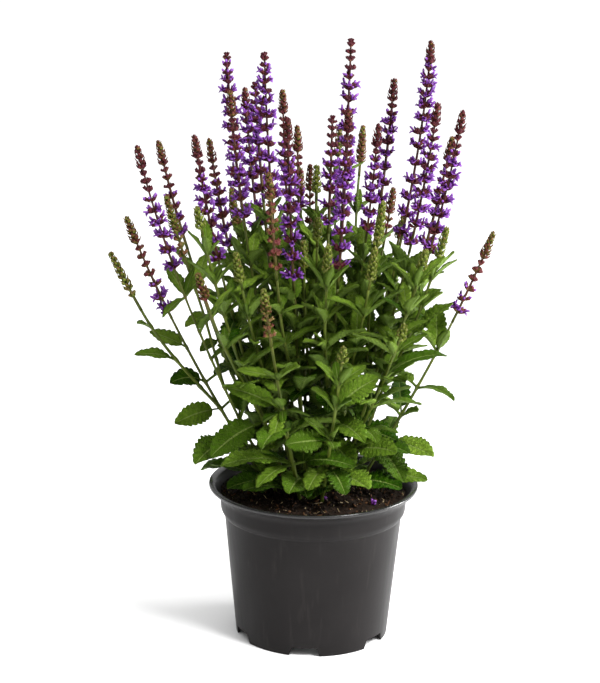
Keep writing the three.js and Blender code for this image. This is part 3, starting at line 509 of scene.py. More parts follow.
def settle_leaves(leaves, shoots):
    """Turns, lifts and shortens each leaf until it clears what stands round it, or leaves it out.

    The frame's leaves come first, with its clearances, and the rest fill in between them, closer together."""
    places, gaps, owners = stem_points(shoots)
    along, across = np.meshgrid(TESTED_ALONG, TESTED_ACROSS, indexing="ij")
    along, across = along.ravel(), across.ravel()
    filled = len(places)
    room = filled + len(leaves) * len(along)
    places = np.concatenate([places, np.zeros((room - filled, 3))])
    gaps = np.concatenate([gaps, np.full(room - filled, LEAF_TO_LEAF)])
    owners = np.concatenate([owners, np.zeros(room - filled)])
    wanted = sorted((leaf for leaf in leaves if leaf.solid), key=lambda leaf: not leaf.posed)
    fillers = [leaf for leaf in leaves if not leaf.solid]
    settled = []
    for leaf in wanted + fillers:
        ease = 1 if leaf.solid else FILLER_CLEARANCE
        near = np.linalg.norm(places[:filled] - leaf.base, axis=1) < leaf.length + TESTED_BEYOND
        near &= owners[:filled] != leaf.shoot.stem
        near_places, near_gaps = places[:filled][near], gaps[:filled][near] * ease
        for turn, lift, scale in LEAF_TRIES[:TUFT_TRIES] if leaf.tuft else LEAF_TRIES:
            tried = SimpleNamespace(**vars(leaf))
            tried.azimuth = leaf.azimuth + math.radians(turn)
            tried.pitch = leaf.pitch + math.radians(lift)
            tried.length, tried.width = leaf.length * scale, leaf.width * scale
            points = leaf_points(tried, along, across)
            if not clears_pot(points):
                continue
            apart = np.linalg.norm(points[:, None] - near_places[None], axis=2)
            if np.any(apart <= near_gaps):
                continue
            settled.append(tried)
            places[filled:filled + len(points)] = points
            owners[filled:filled + len(points)] = leaf.shoot.stem
            filled += len(points)
            break
    return settled


class Piece:
    """Gathers points, faces, finishes and the values that shade them, and makes one object of them."""

    def __init__(self):
        self.points, self.faces, self.finish, self.place, self.tint = [], [], [], [], []
        self.count = 0

    def add(self, points, faces, finish, place, tint):
        points = np.asarray(points, float).reshape(-1, 3)
        self.points.append(points)
        for group in faces:
            group = np.asarray(group, int)
            if len(group):
                self.faces.append(group + self.count)
                self.finish.append(np.full(len(group), finish))
        self.place.append(np.broadcast_to(np.asarray(place, float), points.shape))
        self.tint.append(np.broadcast_to(np.asarray(tint, float), points.shape))
        self.count += len(points)

    def make(self, name, finishes):
        points = np.concatenate(self.points) * MM + POT_AXIS
        corners = np.concatenate([group.ravel() for group in self.faces])
        sizes = np.concatenate([np.full(len(group), group.shape[1]) for group in self.faces])
        used, finish = np.unique(np.concatenate(self.finish), return_inverse=True)
        mesh = bpy.data.meshes.new(name)
        mesh.vertices.add(len(points))
        mesh.vertices.foreach_set("co", points.ravel())
        mesh.loops.add(len(corners))
        mesh.loops.foreach_set("vertex_index", corners)
        mesh.polygons.add(len(sizes))
        mesh.polygons.foreach_set("loop_start", np.cumsum(sizes) - sizes)
        mesh.polygons.foreach_set("material_index", finish)
        mesh.polygons.foreach_set("use_smooth", np.ones(len(sizes), bool))
        mesh.update(calc_edges=True)
        for title, values in (("place", self.place), ("tint", self.tint)):
            attribute = mesh.attributes.new(title, "FLOAT_VECTOR", "POINT")
            attribute.data.foreach_set("vector", np.concatenate(values).ravel())
        for number in used:
            mesh.materials.append(finishes[number])
        piece = bpy.data.objects.new(name, mesh)
        bpy.context.scene.collection.objects.link(piece)
        return piece


def ring_quads(rings, around):
    """The faces between rings of points, each with its points in order round it."""
    i = np.arange(around)
    low = np.arange(rings - 1)[:, None] * around
    after = (i + 1) % around
    return np.stack([low + i, low + after, low + around + after, low + around + i], -1).reshape(-1, 4)


def tube_faces(rings, around, apex=True):
    """The faces of a tube of rings, capped at its foot.

    The last point is an apex, or else the tube is capped there too."""
    i = np.arange(around)
    last = (rings - 1) * around
    foot = i[::-1][None]
    if not apex:
        return [ring_quads(rings, around), foot, (last + i)[None]]
    top = np.stack([last + i, last + (i + 1) % around, np.full(around, last + around)], -1)
    return [ring_quads(rings, around), foot, top]


def copies(piece, shape, origins, bases, scales, finish, tints):
    """Puts a copy of a small shape at each origin, turned by its basis and grown by its scale."""
    count = len(origins)
    if count == 0:
        return
    grown = np.einsum("nk,mjk->mnj", shape.points, bases) * np.asarray(scales)[:, None, None]
    points = (grown + np.asarray(origins)[:, None]).reshape(-1, 3)
    step = np.arange(count)[:, None, None] * len(shape.points)
    faces = [(group[None] + step).reshape(-1, group.shape[1]) for group in shape.faces]
    place = np.tile(shape.place, (count, 1))
    tint = np.repeat(np.asarray(tints, float), len(shape.points), axis=0)
    piece.add(points, faces, finish, place, tint)


# The leaves. Each is drawn with points across its top and its underside, and rings along each tooth and along
# its stalk.
LARGE_DETAIL = SimpleNamespace(
    top=(1, 0.92, 0.55, 0.13, 0, -0.13, -0.55, -0.92, -1), under=(-0.5, 0, 0.5), rings=4, stalk=4
)
SMALL_DETAIL = SimpleNamespace(top=(1, 0.6, 0.14, 0, -0.14, -0.6, -1), under=(-0.5, 0, 0.5), rings=3, stalk=2)
TUFT_DETAIL = SimpleNamespace(top=(1, 0.5, 0, -0.5, -1), under=(0,), rings=2, stalk=1)

# The thickness of a leaf, the rib under it and the channel over the rib, and the share of the blade over
# which they take over from the stalk.
BLADE_THICKNESS = 0.45
STALK_THICKNESS = 1.5
RIB_DEPTH = 1.15
RIB_AT_TIP = 0.35
CHANNEL_DEPTH = 0.3
BLADE_START = 0.12

# The teeth: their depth is against the blade's half width, and the lean and fullness are powers.
TOOTH_LENGTH = 5.2
FEWEST_TEETH = 4
TOOTH_SIZES = (0.7, 1.3)
TOOTH_DEPTH = 0.15
NOTCH_SHARE = 0.7
TOOTH_LEAN = 0.7
TOOTH_FULLNESS = 0.6

# The relief of a blade, against its half width, or for the ripple against its full width.
QUILT_DEPTH = 0.065
ARCH_DEPTH = 0.38
RIPPLE_DEPTH = 0.05
RIPPLE_WAVES = (1.4, 2.6)
RIPPLE_SHIFT = 6.3

# How light a leaf is at the clump's foot, how much lighter at its top, and how far chance changes it.
LOW_LIGHTNESS = 0.25
ADDED_LIGHTNESS = 0.6
LIGHTNESS_SPREAD = 0.27


def add_leaf(piece, leaf, chance):
    """One leaf: a stalk, and a folded blade with cut edges, quilted between its side veins."""
    detail = TUFT_DETAIL if leaf.tuft else LARGE_DETAIL if leaf.length > LARGE_LEAF else SMALL_DETAIL
    teeth = max(FEWEST_TEETH, int(round(leaf.length * (1 - leaf.stalk) / TOOTH_LENGTH)))
    blade = np.arange(teeth * detail.rings) / (teeth * detail.rings)
    stalk = leaf.stalk * np.arange(detail.stalk) / detail.stalk
    along = np.concatenate([stalk, leaf.stalk + (1 - leaf.stalk) * blade])
    share = np.concatenate([np.zeros(len(stalk)), blade])
    phase = (share * teeth) % 1
    tooth = np.sin(math.pi * phase**TOOTH_LEAN) ** TOOTH_FULLNESS
    size = chance.uniform(*TOOTH_SIZES, teeth)[np.minimum((share * teeth).astype(int), teeth - 1)]
    cut = 1 - TOOTH_DEPTH * NOTCH_SHARE + TOOTH_DEPTH * size * tooth
    across = np.array(detail.top + detail.under)
    edge = np.abs(across)[None]
    t = share[:, None]
    half = (blade_shape(leaf, share) * leaf.width / 2)[:, None]
    on_blade = smooth_step(share / BLADE_START)[:, None]
    veins = np.cos(2 * math.pi * (SIDE_VEINS * t - VEIN_SLANT * edge))
    quilt = -QUILT_DEPTH * half * veins * 4 * edge * (1 - edge)
    waves = chance.uniform(*RIPPLE_WAVES)
    shift = np.where(across > 0, chance.uniform(0, RIPPLE_SHIFT), chance.uniform(0, RIPPLE_SHIFT))[None]
    ripple = RIPPLE_DEPTH * leaf.width * edge**2 * np.sin(2 * math.pi * waves * t + shift) * on_blade
    arch = -ARCH_DEPTH * half * math.sin(LEAF_FOLD) * edge**3
    channel = np.where(across == 0, -CHANNEL_DEPTH, 0)[None]
    lift = quilt + ripple + arch + channel
    thick = lerp(STALK_THICKNESS, BLADE_THICKNESS, on_blade)
    rib = np.where(across == 0, RIB_DEPTH, 0)[None] * lerp(1, RIB_AT_TIP, t) * on_blade
    under = (np.arange(len(across)) >= len(detail.top)).astype(float)[None]
    lift = lift - under * (thick + rib - channel)
    points = leaf_points(leaf, along[:, None], across[None], lift, cut[:, None]).reshape(-1, 3)
    tip = leaf_points(leaf, np.array([1.0]), np.array([0.0]))
    varied = LOW_LIGHTNESS + ADDED_LIGHTNESS * leaf.up + chance.normal(0, LIGHTNESS_SPREAD)
    lightness = clamp(varied, 0, 1)
    mark = chance.uniform()
    place = np.stack(np.broadcast_arrays(across[None], t, mark), -1).reshape(-1, 3)
    on_stalk = np.where(share == 0, 1.0, 0.0)[:, None]
    tint = np.stack(np.broadcast_arrays(lightness, under, on_stalk), -1).reshape(-1, 3)
    piece.add(
        np.concatenate([points, tip]),
        tube_faces(len(along), len(across)),
        LEAF,
        np.concatenate([place, [[0, 1, mark]]]),
        np.concatenate([tint, [[lightness, 0, 0]]]),
    )


# The stems. A ring has three points to each of its four edges, and the flats between them lie closer in.
EDGE_POINTS = (45, 70, 110)
STEM_TURNS = np.radians([angle + 90 * quarter for quarter in range(4) for angle in EDGE_POINTS])
STEM_SIDES = len(STEM_TURNS)
STEM_FLAT = 0.74
STEM_RING_STEP = 7
JOINT_SWELL = 0.4
JOINT_HALF_HEIGHT = 2.4
JOINT_RINGS = np.array([-3.0, -1.2, 0.0, 1.2, 3.0])

# How flushed with plum a stem is: all over, at its joints between two heights, and below a coloured spike.
STEM_FLUSH = 0.04
JOINT_FLUSH = 0.25
JOINT_FLUSH_HEIGHTS = (250, 400)
NECK_FLUSH = 0.16
NECK_FLUSH_LENGTH = 90


def stem_tube(piece, shoot, levels, corners, flush):
    """A square stem with rounded edges along a shoot's middle line, through these heights."""
    _, right, back = shoot.axes(levels)
    shape = np.where(np.arange(STEM_SIDES) % len(EDGE_POINTS) == 0, 1.0, STEM_FLAT)
    turns = STEM_TURNS + shoot.outward
    radius = corners[:, None] * shape[None]
    to_right, to_back = radius * np.cos(turns), radius * np.sin(turns)
    ring = right[:, None] * to_right[..., None] + back[:, None] * to_back[..., None]
    points = shoot.middle(levels)[:, None] + ring
    tint = np.stack(np.broadcast_arrays(flush[:, None], shape[None], 0.0), -1).reshape(-1, 3)
    piece.add(points, tube_faces(len(levels), STEM_SIDES, apex=False), STEM, (0, 0, 0), tint)


def add_stem(piece, shoot):
    """The leafy part of a shoot, from its start to the neck of its spike, swollen at its joints."""
    joints = np.array(shoot.joints + ([shoot.start] if shoot.parent else []))
    steps = max(2, int((shoot.neck - shoot.start) / STEM_RING_STEP))
    levels = np.linspace(shoot.start, shoot.neck, steps + 1)
    near = (joints[:, None] + JOINT_RINGS).ravel()
    levels = np.concatenate([levels, near[(near > shoot.start) & (near < shoot.neck)]])
    levels = np.unique(np.round(levels, 1))
    swell = np.exp(-((levels[:, None] - joints[None]) / JOINT_HALF_HEIGHT) ** 2).sum(1)
    swell = np.minimum(swell, 1)
    corners = shoot.corner(levels) * (1 + JOINT_SWELL * swell)
    low, high = JOINT_FLUSH_HEIGHTS
    flush = STEM_FLUSH + JOINT_FLUSH * swell * smooth_step((levels - low) / (high - low))
    if shoot.look != "green":
        flush = flush + NECK_FLUSH * smooth_step((levels - shoot.neck) / NECK_FLUSH_LENGTH + 1)
    stem_tube(piece, shoot, levels, corners, flush)


# The small shapes of a spike. Each points along +Z, its upper side faces +X, and it is about 1 long.
CUP_FLOOR = 0.7


def lens(stations, half_widths, thickness, camber, bow, sideways=None):
    """A thin pointed petal or bract, whose section is a lens with its edges raised by the camber.

    At each station it leans to +X by its bow, and to +Y by its sideways lean. The last one is its apex."""
    stations, half_widths, bow = (np.asarray(values, float) for values in (stations, half_widths, bow))
    sideways = np.zeros(len(stations)) if sideways is None else np.asarray(sideways, float)
    points, place = [], []
    for z, half, x, y in zip(stations[:-1], half_widths, bow, sideways):
        raised = camber * half
        points += [(x + raised, y + half, z), (x - thickness, y, z), (x + raised, y - half, z), (x, y, z)]
        place += [(1, z, 0), (0, z, 1), (-1, z, 0), (0, z, 0)]
    points.append((bow[-1], sideways[-1], stations[-1]))
    place.append((0, stations[-1], 0))
    faces = tube_faces(len(stations) - 1, 4)
    return SimpleNamespace(points=np.array(points), faces=faces, place=np.array(place, float))


def cup(around, levels, radii, bow, teeth=0.0):
    """A hollow bell round +Z, closed at its foot, whose last two levels turn in over its mouth."""
    turns = 2 * math.pi * np.arange(around) / around
    points, place = [], []
    for number, (z, radius, x) in enumerate(zip(levels, radii, bow)):
        for step, turn in enumerate(turns):
            height = z + (teeth * (step % 2) if number == len(levels) - 2 else 0)
            points.append((x + radius * math.cos(turn), radius * math.sin(turn), height))
            place.append((turn / (2 * math.pi), z, 0))
    points.append((bow[-1], 0, levels[-1] * CUP_FLOOR))
    place.append((0, CUP_FLOOR, 0))
    faces = tube_faces(len(levels), around)
    return SimpleNamespace(points=np.array(points), faces=faces, place=np.array(place))


def joined(*shapes):
    points = np.concatenate([shape.points for shape in shapes])
    place = np.concatenate([shape.place for shape in shapes])
    starts = np.cumsum([0] + [len(shape.points) for shape in shapes])
    faces = [group + start for shape, start in zip(shapes, starts) for group in shape.faces]
    return SimpleNamespace(points=points, faces=faces, place=place)


BRACT = lens([0, 0.2, 0.5, 0.8, 1], [0.16, 0.32, 0.36, 0.2], 0.05, 0.35, [0, -0.04, -0.04, 0.03, 0.12])
SCALE = lens([0, 0.3, 0.7, 1], [0.26, 0.42, 0.3], 0.12, -0.45, [0, 0.02, 0.02, 0.1])
CALYX_BELL = cup(8, [0, 0.3, 0.7, 0.95, 0.8], [0.09, 0.22, 0.28, 0.3, 0.2], [0, 0, 0.03, 0.06, 0.06], -0.2)
BUD = cup(6, [0, 0.25, 0.6, 0.86, 0.98], [0.12, 0.29, 0.3, 0.16, 0.05], [0, 0, 0.03, 0.07, 0.1])
HOOD_BOW = [0.12, 0.32, 0.54, 0.6, 0.46]
HOOD = lens([0.0, 0.3, 0.65, 0.95, 1.1], [0.19, 0.26, 0.27, 0.19], 0.05, -1.3, HOOD_BOW)
LIP_BOW = [-0.06, -0.12, -0.28, -0.5, -0.66]
LOWER_LIP = lens([0.0, 0.25, 0.5, 0.7, 0.76], [0.2, 0.27, 0.42, 0.34], 0.08, 0.3, LIP_BOW)
LOBE_STATIONS = [0.05, 0.3, 0.56, 0.7]
LOBE_WIDTHS = [0.14, 0.23, 0.22]
LOBE_BOW = [-0.02, -0.05, -0.12, -0.2]
LOBE_LEAN = np.array([0.14, 0.24, 0.34, 0.42])
RIGHT_LOBE = lens(LOBE_STATIONS, LOBE_WIDTHS, 0.08, 0.25, LOBE_BOW, LOBE_LEAN)
LEFT_LOBE = lens(LOBE_STATIONS, LOBE_WIDTHS, 0.08, 0.25, LOBE_BOW, -LOBE_LEAN)
THROAT = cup(6, [-0.35, 0.0, 0.22, 0.1], [0.11, 0.15, 0.19, 0.1], [0, 0, 0.02, 0.02])
COROLLA = joined(HOOD, LOWER_LIP, RIGHT_LOBE, LEFT_LOBE, THROAT)


class Spike:
    """Gathers the florets, bracts and scales of one spike before they are put on it."""

    def __init__(self, shoot, chance):
        self.shoot, self.chance = shoot, chance
        self.rows = {}

    def put(self, kind, down, azimuth, raised, offset, size, tint, twist=0.0):
        """One small shape: how far below the tip, which way it faces, how it rises and how far out it is."""
        self.rows.setdefault(kind, []).append((down, azimuth, raised, offset, size, twist) + tuple(tint))

    def place_all(self, piece, shapes):
        for kind, rows in self.rows.items():
            shape, finish = shapes[kind]
            rows = np.array(rows)
            down, azimuth, raised, offset, size, twist = rows[:, :6].T
            z = self.shoot.tip[2] - down
            along, right, back = self.shoot.axes(z)
            out = right * np.cos(azimuth)[:, None] + back * np.sin(azimuth)[:, None]
            axis = out * np.cos(raised)[:, None] + along * np.sin(raised)[:, None]
            top = -out * np.sin(raised)[:, None] + along * np.cos(raised)[:, None]
            side = np.cross(axis, top)
            turned = top * np.cos(twist)[:, None] + side * np.sin(twist)[:, None]
            origins = self.shoot.middle(z) + out * offset[:, None]
            bases = np.stack([turned, np.cross(axis, turned), axis], -1)
            copies(piece, shape, origins, bases, size, finish, rows[:, 6:9])


SHAPES = {
    "bract": (BRACT, CALYX),
    "scale": (SCALE, CALYX),
    "calyx": (CALYX_BELL, CALYX),
    "petal_bud": (BUD, PETAL),
    "corolla": (COROLLA, PETAL),
}

# The tip of a spike: how it narrows, the height of a row of its scales, the core that they stand out of, and
# how its scales grow and rise from its foot to its top.
CONE_TAPER = 0.3
CONE_ROUNDING = 0.4
LOWEST_SCALES = 0.3
CONE_STEP = 2.4
CONE_CORE = 0.62
CORE_START = 0.12
CORE_STEP = 3
CORE_TO_TIP = 1.5
MOST_CONE = 0.7
SCALE_SIZES = (5.0, 3.8)
SCALE_VARIATION = (0.85, 1.15)
SCALE_RISES = (0.82, 1.2)
SCALE_DROP = 2.6
SCALE_OFFSET = 0.55
CLOSING_SCALE = SimpleNamespace(down=3.2, rise=1.42, offset=0.4, size=3.2)
CROWN_CALYX = SimpleNamespace(down=3.6, rise=1.0, offset=0.4, size=4.2)
CROWN_SCALE = SimpleNamespace(down=3.4, rise=1.45, offset=0, size=3.4)

# The whorls: how the florets of a cyme stand round it, how far they lie apart in height, and how bracts,
# calyces and flowers grow and rise from the youngest whorl to the first full-grown one.
CYME_TURNS = {2: (-0.5, 0.5), 3: (-0.8, 0, 0.8), 4: (-1.15, -0.4, 0.4, 1.15)}
FIRST_WHORL = 0.45
FULL_GROWN = 45
PAIRS_UNTIL = 0.3
WHORL_DEPTH = 1.8
FLORET_OFFSET = 0.8
BRACT_SIZES = (4.0, 5.2)
BRACT_RISES = (0.8, 0.35)
BRACT_RIPENESS = 0.85
BRACT_DROP = 1
CALYX_SIZES = (4.8, 6.4)
CALYX_VARIATION = (0.85, 1.1)
CALYX_RISES = (0.75, 0.5)
CALYX_MOUTH = 0.75
FLOWER_SIZES = (4.4, 5.5)
FLOWER_VARIATION = (0.82, 1.12)
PETAL_BUD_SIZE = 3.8

# How far chance changes turns, rises, twists and ripeness: standard deviations, with angles in radians.
SPREAD = SimpleNamespace(
    crown_rise=0.1, scale_turn=0.1, scale_rise=0.09, cyme_turn=0.1, floret_turn=0.12, calyx_rise=0.16,
    flower_rise=0.3, flower_twist=0.4, ripeness=0.08, bract_ripeness=0.06,
)

# Which florets are open: the greatest share of them, the least part of that share, and where and over what
# length it grows. Then how far above the first flowers an open one and a bud may stand, and the share that
# are at least in bud. A short spike with the calyx look has no flowers.
OPEN_SHARE = 0.8
LEAST_OPEN = 0.35
OPENING = (16, 26)
FLOWERS_ABOVE = 2
BUDS_ABOVE = 12
BUD_SHARE = 0.85
SHORTEST_FLOWERING = 80

# The stalk of a spike, and the share of it over which it ripens.
RACHIS_STEP = 7
RACHIS_FLUSH = 0.2
RIPE_FROM = 0.35


def cone_shape(share):
    """How broad the tip of a spike is against its foot, at a share of its height."""
    return 1 - CONE_TAPER * share - CONE_ROUNDING * share**4


def spike_crown(spike, look):
    """The tip of a loose spike: four bells, and a scale over the last of them."""
    chance = spike.chance
    for quarter in range(4):
        tint = (look.ripe_foot, chance.uniform(), 0)
        turn = spike.shoot.outward + quarter * math.pi / 2
        rise = CROWN_CALYX.rise + chance.normal(0, SPREAD.crown_rise)
        spike.put("calyx", CROWN_CALYX.down, turn, rise, CROWN_CALYX.offset, CROWN_CALYX.size, tint)
    spike.put("scale", CROWN_SCALE.down, turn, CROWN_SCALE.rise, CROWN_SCALE.offset, CROWN_SCALE.size, tint)


def spike_cone(spike, cone, look):
    """The tip of a spike: overlapping scales in crosswise fours, round a cone with a blunt tip."""
    chance = spike.chance
    levels = max(2, int(cone / CONE_STEP))
    for level in range(levels):
        share = (level + LOWEST_SCALES) / levels
        down = cone * (1 - share)
        radius = CONE_RADIUS * cone_shape(share)
        ripe = lerp(look.ripe_foot, look.ripe_tip, share)
        for quarter in range(4):
            crosswise = (quarter + 0.5 * (level % 2)) * math.pi / 2
            azimuth = spike.shoot.outward + crosswise + chance.normal(0, SPREAD.scale_turn)
            tint = (ripe + chance.normal(0, SPREAD.ripeness), chance.uniform(), 0)
            size = lerp(*SCALE_SIZES, share) * chance.uniform(*SCALE_VARIATION)
            rise = lerp(*SCALE_RISES, share) + chance.normal(0, SPREAD.scale_rise)
            spike.put("scale", down + SCALE_DROP, azimuth, rise, radius * SCALE_OFFSET, size, tint)
    last = CLOSING_SCALE
    for third in range(3):
        tint = (look.ripe_tip, chance.uniform(), 0)
        spike.put("scale", last.down, third * 2 * math.pi / 3, last.rise, last.offset, last.size, tint)


def first_flowers_of(shoot, look):
    """How far below the tip of a spike its open flowers begin."""
    if shoot.look == "calyx" and (shoot.parent or shoot.spike < SHORTEST_FLOWERING):
        return math.inf
    if shoot.parent:
        return look.flowers_from * shoot.spike
    return FIRST_FLOWERS.get(shoot.stem + 1, look.flowers_from) * shoot.spike


def put_floret(spike, down, azimuth, grown, look, first_flowers):
    """One floret of a whorl: a calyx, and in it an open flower, a coloured bud or nothing yet."""
    chance = spike.chance
    raised = lerp(*CALYX_RISES, grown) + chance.normal(0, SPREAD.calyx_rise)
    size = lerp(*CALYX_SIZES, grown) * chance.uniform(*CALYX_VARIATION)
    ripe = clamp(look.ripe_foot + chance.normal(0, SPREAD.ripeness), 0, 1)
    tint = (ripe, chance.uniform(), 0)
    low = down + WHORL_DEPTH * grown * chance.uniform(-1, 1)
    spike.put("calyx", low, azimuth, raised, FLORET_OFFSET, size, tint)
    mouth = size * CALYX_MOUTH * math.cos(raised)
    lifted = size * CALYX_MOUTH * math.sin(raised)
    tint = (chance.uniform(), chance.uniform(), grown)
    drawn = chance.uniform()
    started, stretch = OPENING
    opened = OPEN_SHARE * clamp((down - first_flowers + started) / stretch, LEAST_OPEN, 1)
    if down > first_flowers - FLOWERS_ABOVE and drawn < opened:
        length = lerp(*FLOWER_SIZES, grown) * chance.uniform(*FLOWER_VARIATION)
        tilt = raised + chance.normal(0, SPREAD.flower_rise)
        twist = chance.normal(0, SPREAD.flower_twist)
        spike.put("corolla", low - lifted, azimuth, tilt, FLORET_OFFSET + mouth, length, tint, twist)
    elif down > first_flowers - BUDS_ABOVE and drawn < BUD_SHARE:
        spike.put("petal_bud", low - lifted, azimuth, raised, mouth, PETAL_BUD_SIZE, tint)


def spike_whorls(spike, cone, look):
    """The whorls below the tip, each of two cymes of florets that face away from each other, over a bract."""
    chance, shoot = spike.chance, spike.shoot
    first_flowers = first_flowers_of(shoot, look)
    step = WHORL_STEP
    down = cone + step * FIRST_WHORL
    turn = shoot.outward
    while down < shoot.spike - WHORL_END:
        grown = clamp((down - cone) / FULL_GROWN, 0, 1)
        count = 2 if grown < PAIRS_UNTIL else 3 if down < first_flowers else 4
        for cyme in (0, 1):
            facing = turn + cyme * math.pi + chance.normal(0, SPREAD.cyme_turn)
            ripe = look.ripe_foot * BRACT_RIPENESS + chance.normal(0, SPREAD.bract_ripeness)
            tint = (ripe, chance.uniform(), 0.3)
            rise, size = lerp(*BRACT_RISES, grown), lerp(*BRACT_SIZES, grown)
            spike.put("bract", down + BRACT_DROP, facing, rise, FLORET_OFFSET, size, tint)
            for spread in CYME_TURNS[count]:
                azimuth = facing + spread + chance.normal(0, SPREAD.floret_turn)
                put_floret(spike, down, azimuth, grown, look, first_flowers)
        down += step
        step = min(step * WHORL_GROWTH, WIDEST_STEP)
        turn += math.pi / 2


def add_spike(piece, shoot, chance):
    """A whole spike: its tip, its whorls, and its stalk, which fills out into a core inside the tip."""
    look = SimpleNamespace(**vars(LOOKS[shoot.look]))
    usual = (look.ripe_tip, look.ripe_foot)
    look.ripe_tip, look.ripe_foot = OWN_RIPENESS.get((shoot.stem + 1, shoot.side), usual)
    loose = shoot.parent is None and shoot.stem + 1 in LOOSE_TIPS
    cone = LOOSE_CONE if loose else min(look.cone, shoot.spike * MOST_CONE)
    spike = Spike(shoot, chance)
    if loose:
        spike_crown(spike, look)
    else:
        spike_cone(spike, cone, look)
    spike_whorls(spike, cone, look)
    spike.place_all(piece, SHAPES)
    cone_foot = shoot.tip[2] - cone
    levels = np.arange(shoot.neck + 0.1, cone_foot, RACHIS_STEP)
    core_levels = np.linspace(cone_foot, shoot.tip[2] - CORE_TO_TIP, max(3, int(cone / CORE_STEP)))
    levels = np.concatenate([levels, core_levels])
    share = (levels - shoot.neck) / shoot.spike
    up_cone = np.clip((levels - cone_foot) / cone, 0, 1)
    core = CONE_CORE * CONE_RADIUS * cone_shape(up_cone) * smooth_step(up_cone / CORE_START)
    corners = np.maximum(lerp(RACHIS_CORNER, TIP_CORNER, share), core * (0 if loose else 1))
    flush = lerp(RACHIS_FLUSH, look.ripe_foot, smooth_step(share / RIPE_FROM))
    stem_tube(piece, shoot, levels, corners, flush)


# The pot: its mesh, and the cuts for its notches and its drain slots.
POT_SEGMENTS = 192
SHARP_EDGE = math.radians(32)
NOTCH_CUT = (FOOT_RADIUS - 10, FOOT_RADIUS + 10)
NOTCH_CUT_FOOT = -1
DRAIN_END = FOOT_RADIUS - WALL - 2
DRAIN_CUT_HEIGHTS = (6, 12)


def rounded(outline, steps=4):
    """An outline with rounded corners. Each row is a radius, a height and how much of a corner to round."""
    rows = np.array(outline, float)
    path = []
    for number, (r, z, round_off) in enumerate(rows):
        here = np.array([r, z])
        if round_off == 0:
            path.append(here)
            continue
        before, after = rows[number - 1][:2], rows[number + 1][:2]
        start = here + unit(before - here) * round_off
        end = here + unit(after - here) * round_off
        for t in np.linspace(0, 1, steps + 1):
            path.append((1 - t) ** 2 * start + 2 * t * (1 - t) * here + t**2 * end)
    return np.array(path)


def spun(path, segments):
    """The points and faces of a closed solid of revolution whose outline starts and ends on the axis."""
    turns = 2 * math.pi * np.arange(segments) / segments
    ring = np.stack([np.cos(turns), np.sin(turns)], -1)
    inner = path[1:-1]
    flat = inner[:, None, :1] * ring[None]
    heights = np.broadcast_to(inner[:, None, 1:], flat.shape[:2] + (1,))
    points = np.concatenate([flat, heights], -1).reshape(-1, 3)
    points = np.concatenate([points, [[0, 0, path[0][1]], [0, 0, path[-1][1]]]])
    i = np.arange(segments)
    after = (i + 1) % segments
    last = (len(inner) - 1) * segments
    bottom, top = len(points) - 2, len(points) - 1
    first_fan = np.stack([after, i, np.full(segments, bottom)], -1)
    last_fan = np.stack([last + i, last + after, np.full(segments, top)], -1)
    return points, [ring_quads(len(inner), segments), first_fan, last_fan]


def cutter(points, turn):
    """A block at a turn round the pot's axis, to be cut out of the pot."""
    cosine, sine = math.cos(turn), math.sin(turn)
    rotation = np.array([[cosine, sine, 0], [-sine, cosine, 0], [0, 0, 1]])
    mesh = bpy.data.meshes.new("cutter")
    mesh.from_pydata((np.array(points) @ rotation * MM + POT_AXIS).tolist(), [], BLOCK_FACES)
    piece = bpy.data.objects.new("cutter", mesh)
    bpy.context.scene.collection.objects.link(piece)
    return piece


BLOCK_FACES = [(0, 3, 2, 1), (4, 5, 6, 7), (0, 1, 5, 4), (1, 2, 6, 5), (2, 3, 7, 6), (3, 0, 4, 7)]


def block(x, low_y, high_y, low_z, high_z):
    """The corners of a block along X whose width goes from low_y at its foot to high_y at its top."""
    corners = []
    for z, half in ((low_z, low_y), (high_z, high_y)):
        corners += [(x[0], -half, z), (x[1], -half, z), (x[1], half, z), (x[0], half, z)]
    return corners


def make_pot(finishes):
    """The pot, with a rolled rim, a stepped collar, and a foot that is notched beside each drain slot."""
    slope = (WALL_TOP_RADIUS - FOOT_RADIUS) / WALL_TOP
    wall_rings = [(FOOT_RADIUS + slope * z, z, 0) for z in (NOTCH_HEIGHT + 1, NOTCH_HEIGHT + 3, 30, 60, 90)]
    outline = [
        (0, FLOOR_UNDERSIDE, 0), (FOOT_RADIUS - WALL, FLOOR_UNDERSIDE, 1.2), (FOOT_RADIUS - WALL, 0.0, 0.5),
        (FOOT_RADIUS, 0.0, 0.7), *wall_rings, (80.3, 112.6, 0.8), (81.9, 114.4, 0.8), (83.9, 118.4, 2.0),
        (84.8, 131, 3.5), (91, 137.6, 2.4), (RIM_RADIUS, 139.2, 1.0), (RIM_RADIUS - 0.3, POT_HEIGHT, 1.1),
        (90.2, 141.4, 2.2), (83.2, 132.6, 2.5), (82.2, 119.4, 2.0), (78.4, 113.8, 1.5),
        (FOOT_RADIUS - WALL + 0.6, FLOOR_TOP, 2), (0, FLOOR_TOP, 0),
    ]
    points, faces = spun(rounded(outline), POT_SEGMENTS)
    gather = Piece()
    gather.add(points, faces, 0, (0, 0, 0), (0, 0, 0))
    pot = gather.make("pot_shell", finishes)
    cutters = []
    for number in range(NOTCHES):
        turn = NOTCH_TURN + number * 2 * math.pi / NOTCHES
        notch = block(NOTCH_CUT, NOTCH_FOOT_WIDTH / 2, NOTCH_TOP_WIDTH / 2, NOTCH_CUT_FOOT, NOTCH_HEIGHT)
        drain = block(
            (DRAIN_END - DRAIN_REACH, DRAIN_END), DRAIN_WIDTH / 2, DRAIN_WIDTH / 2, *DRAIN_CUT_HEIGHTS
        )
        cutters += [cutter(notch, turn), cutter(drain, turn)]
    cut_away(pot, cutters)
    return pot


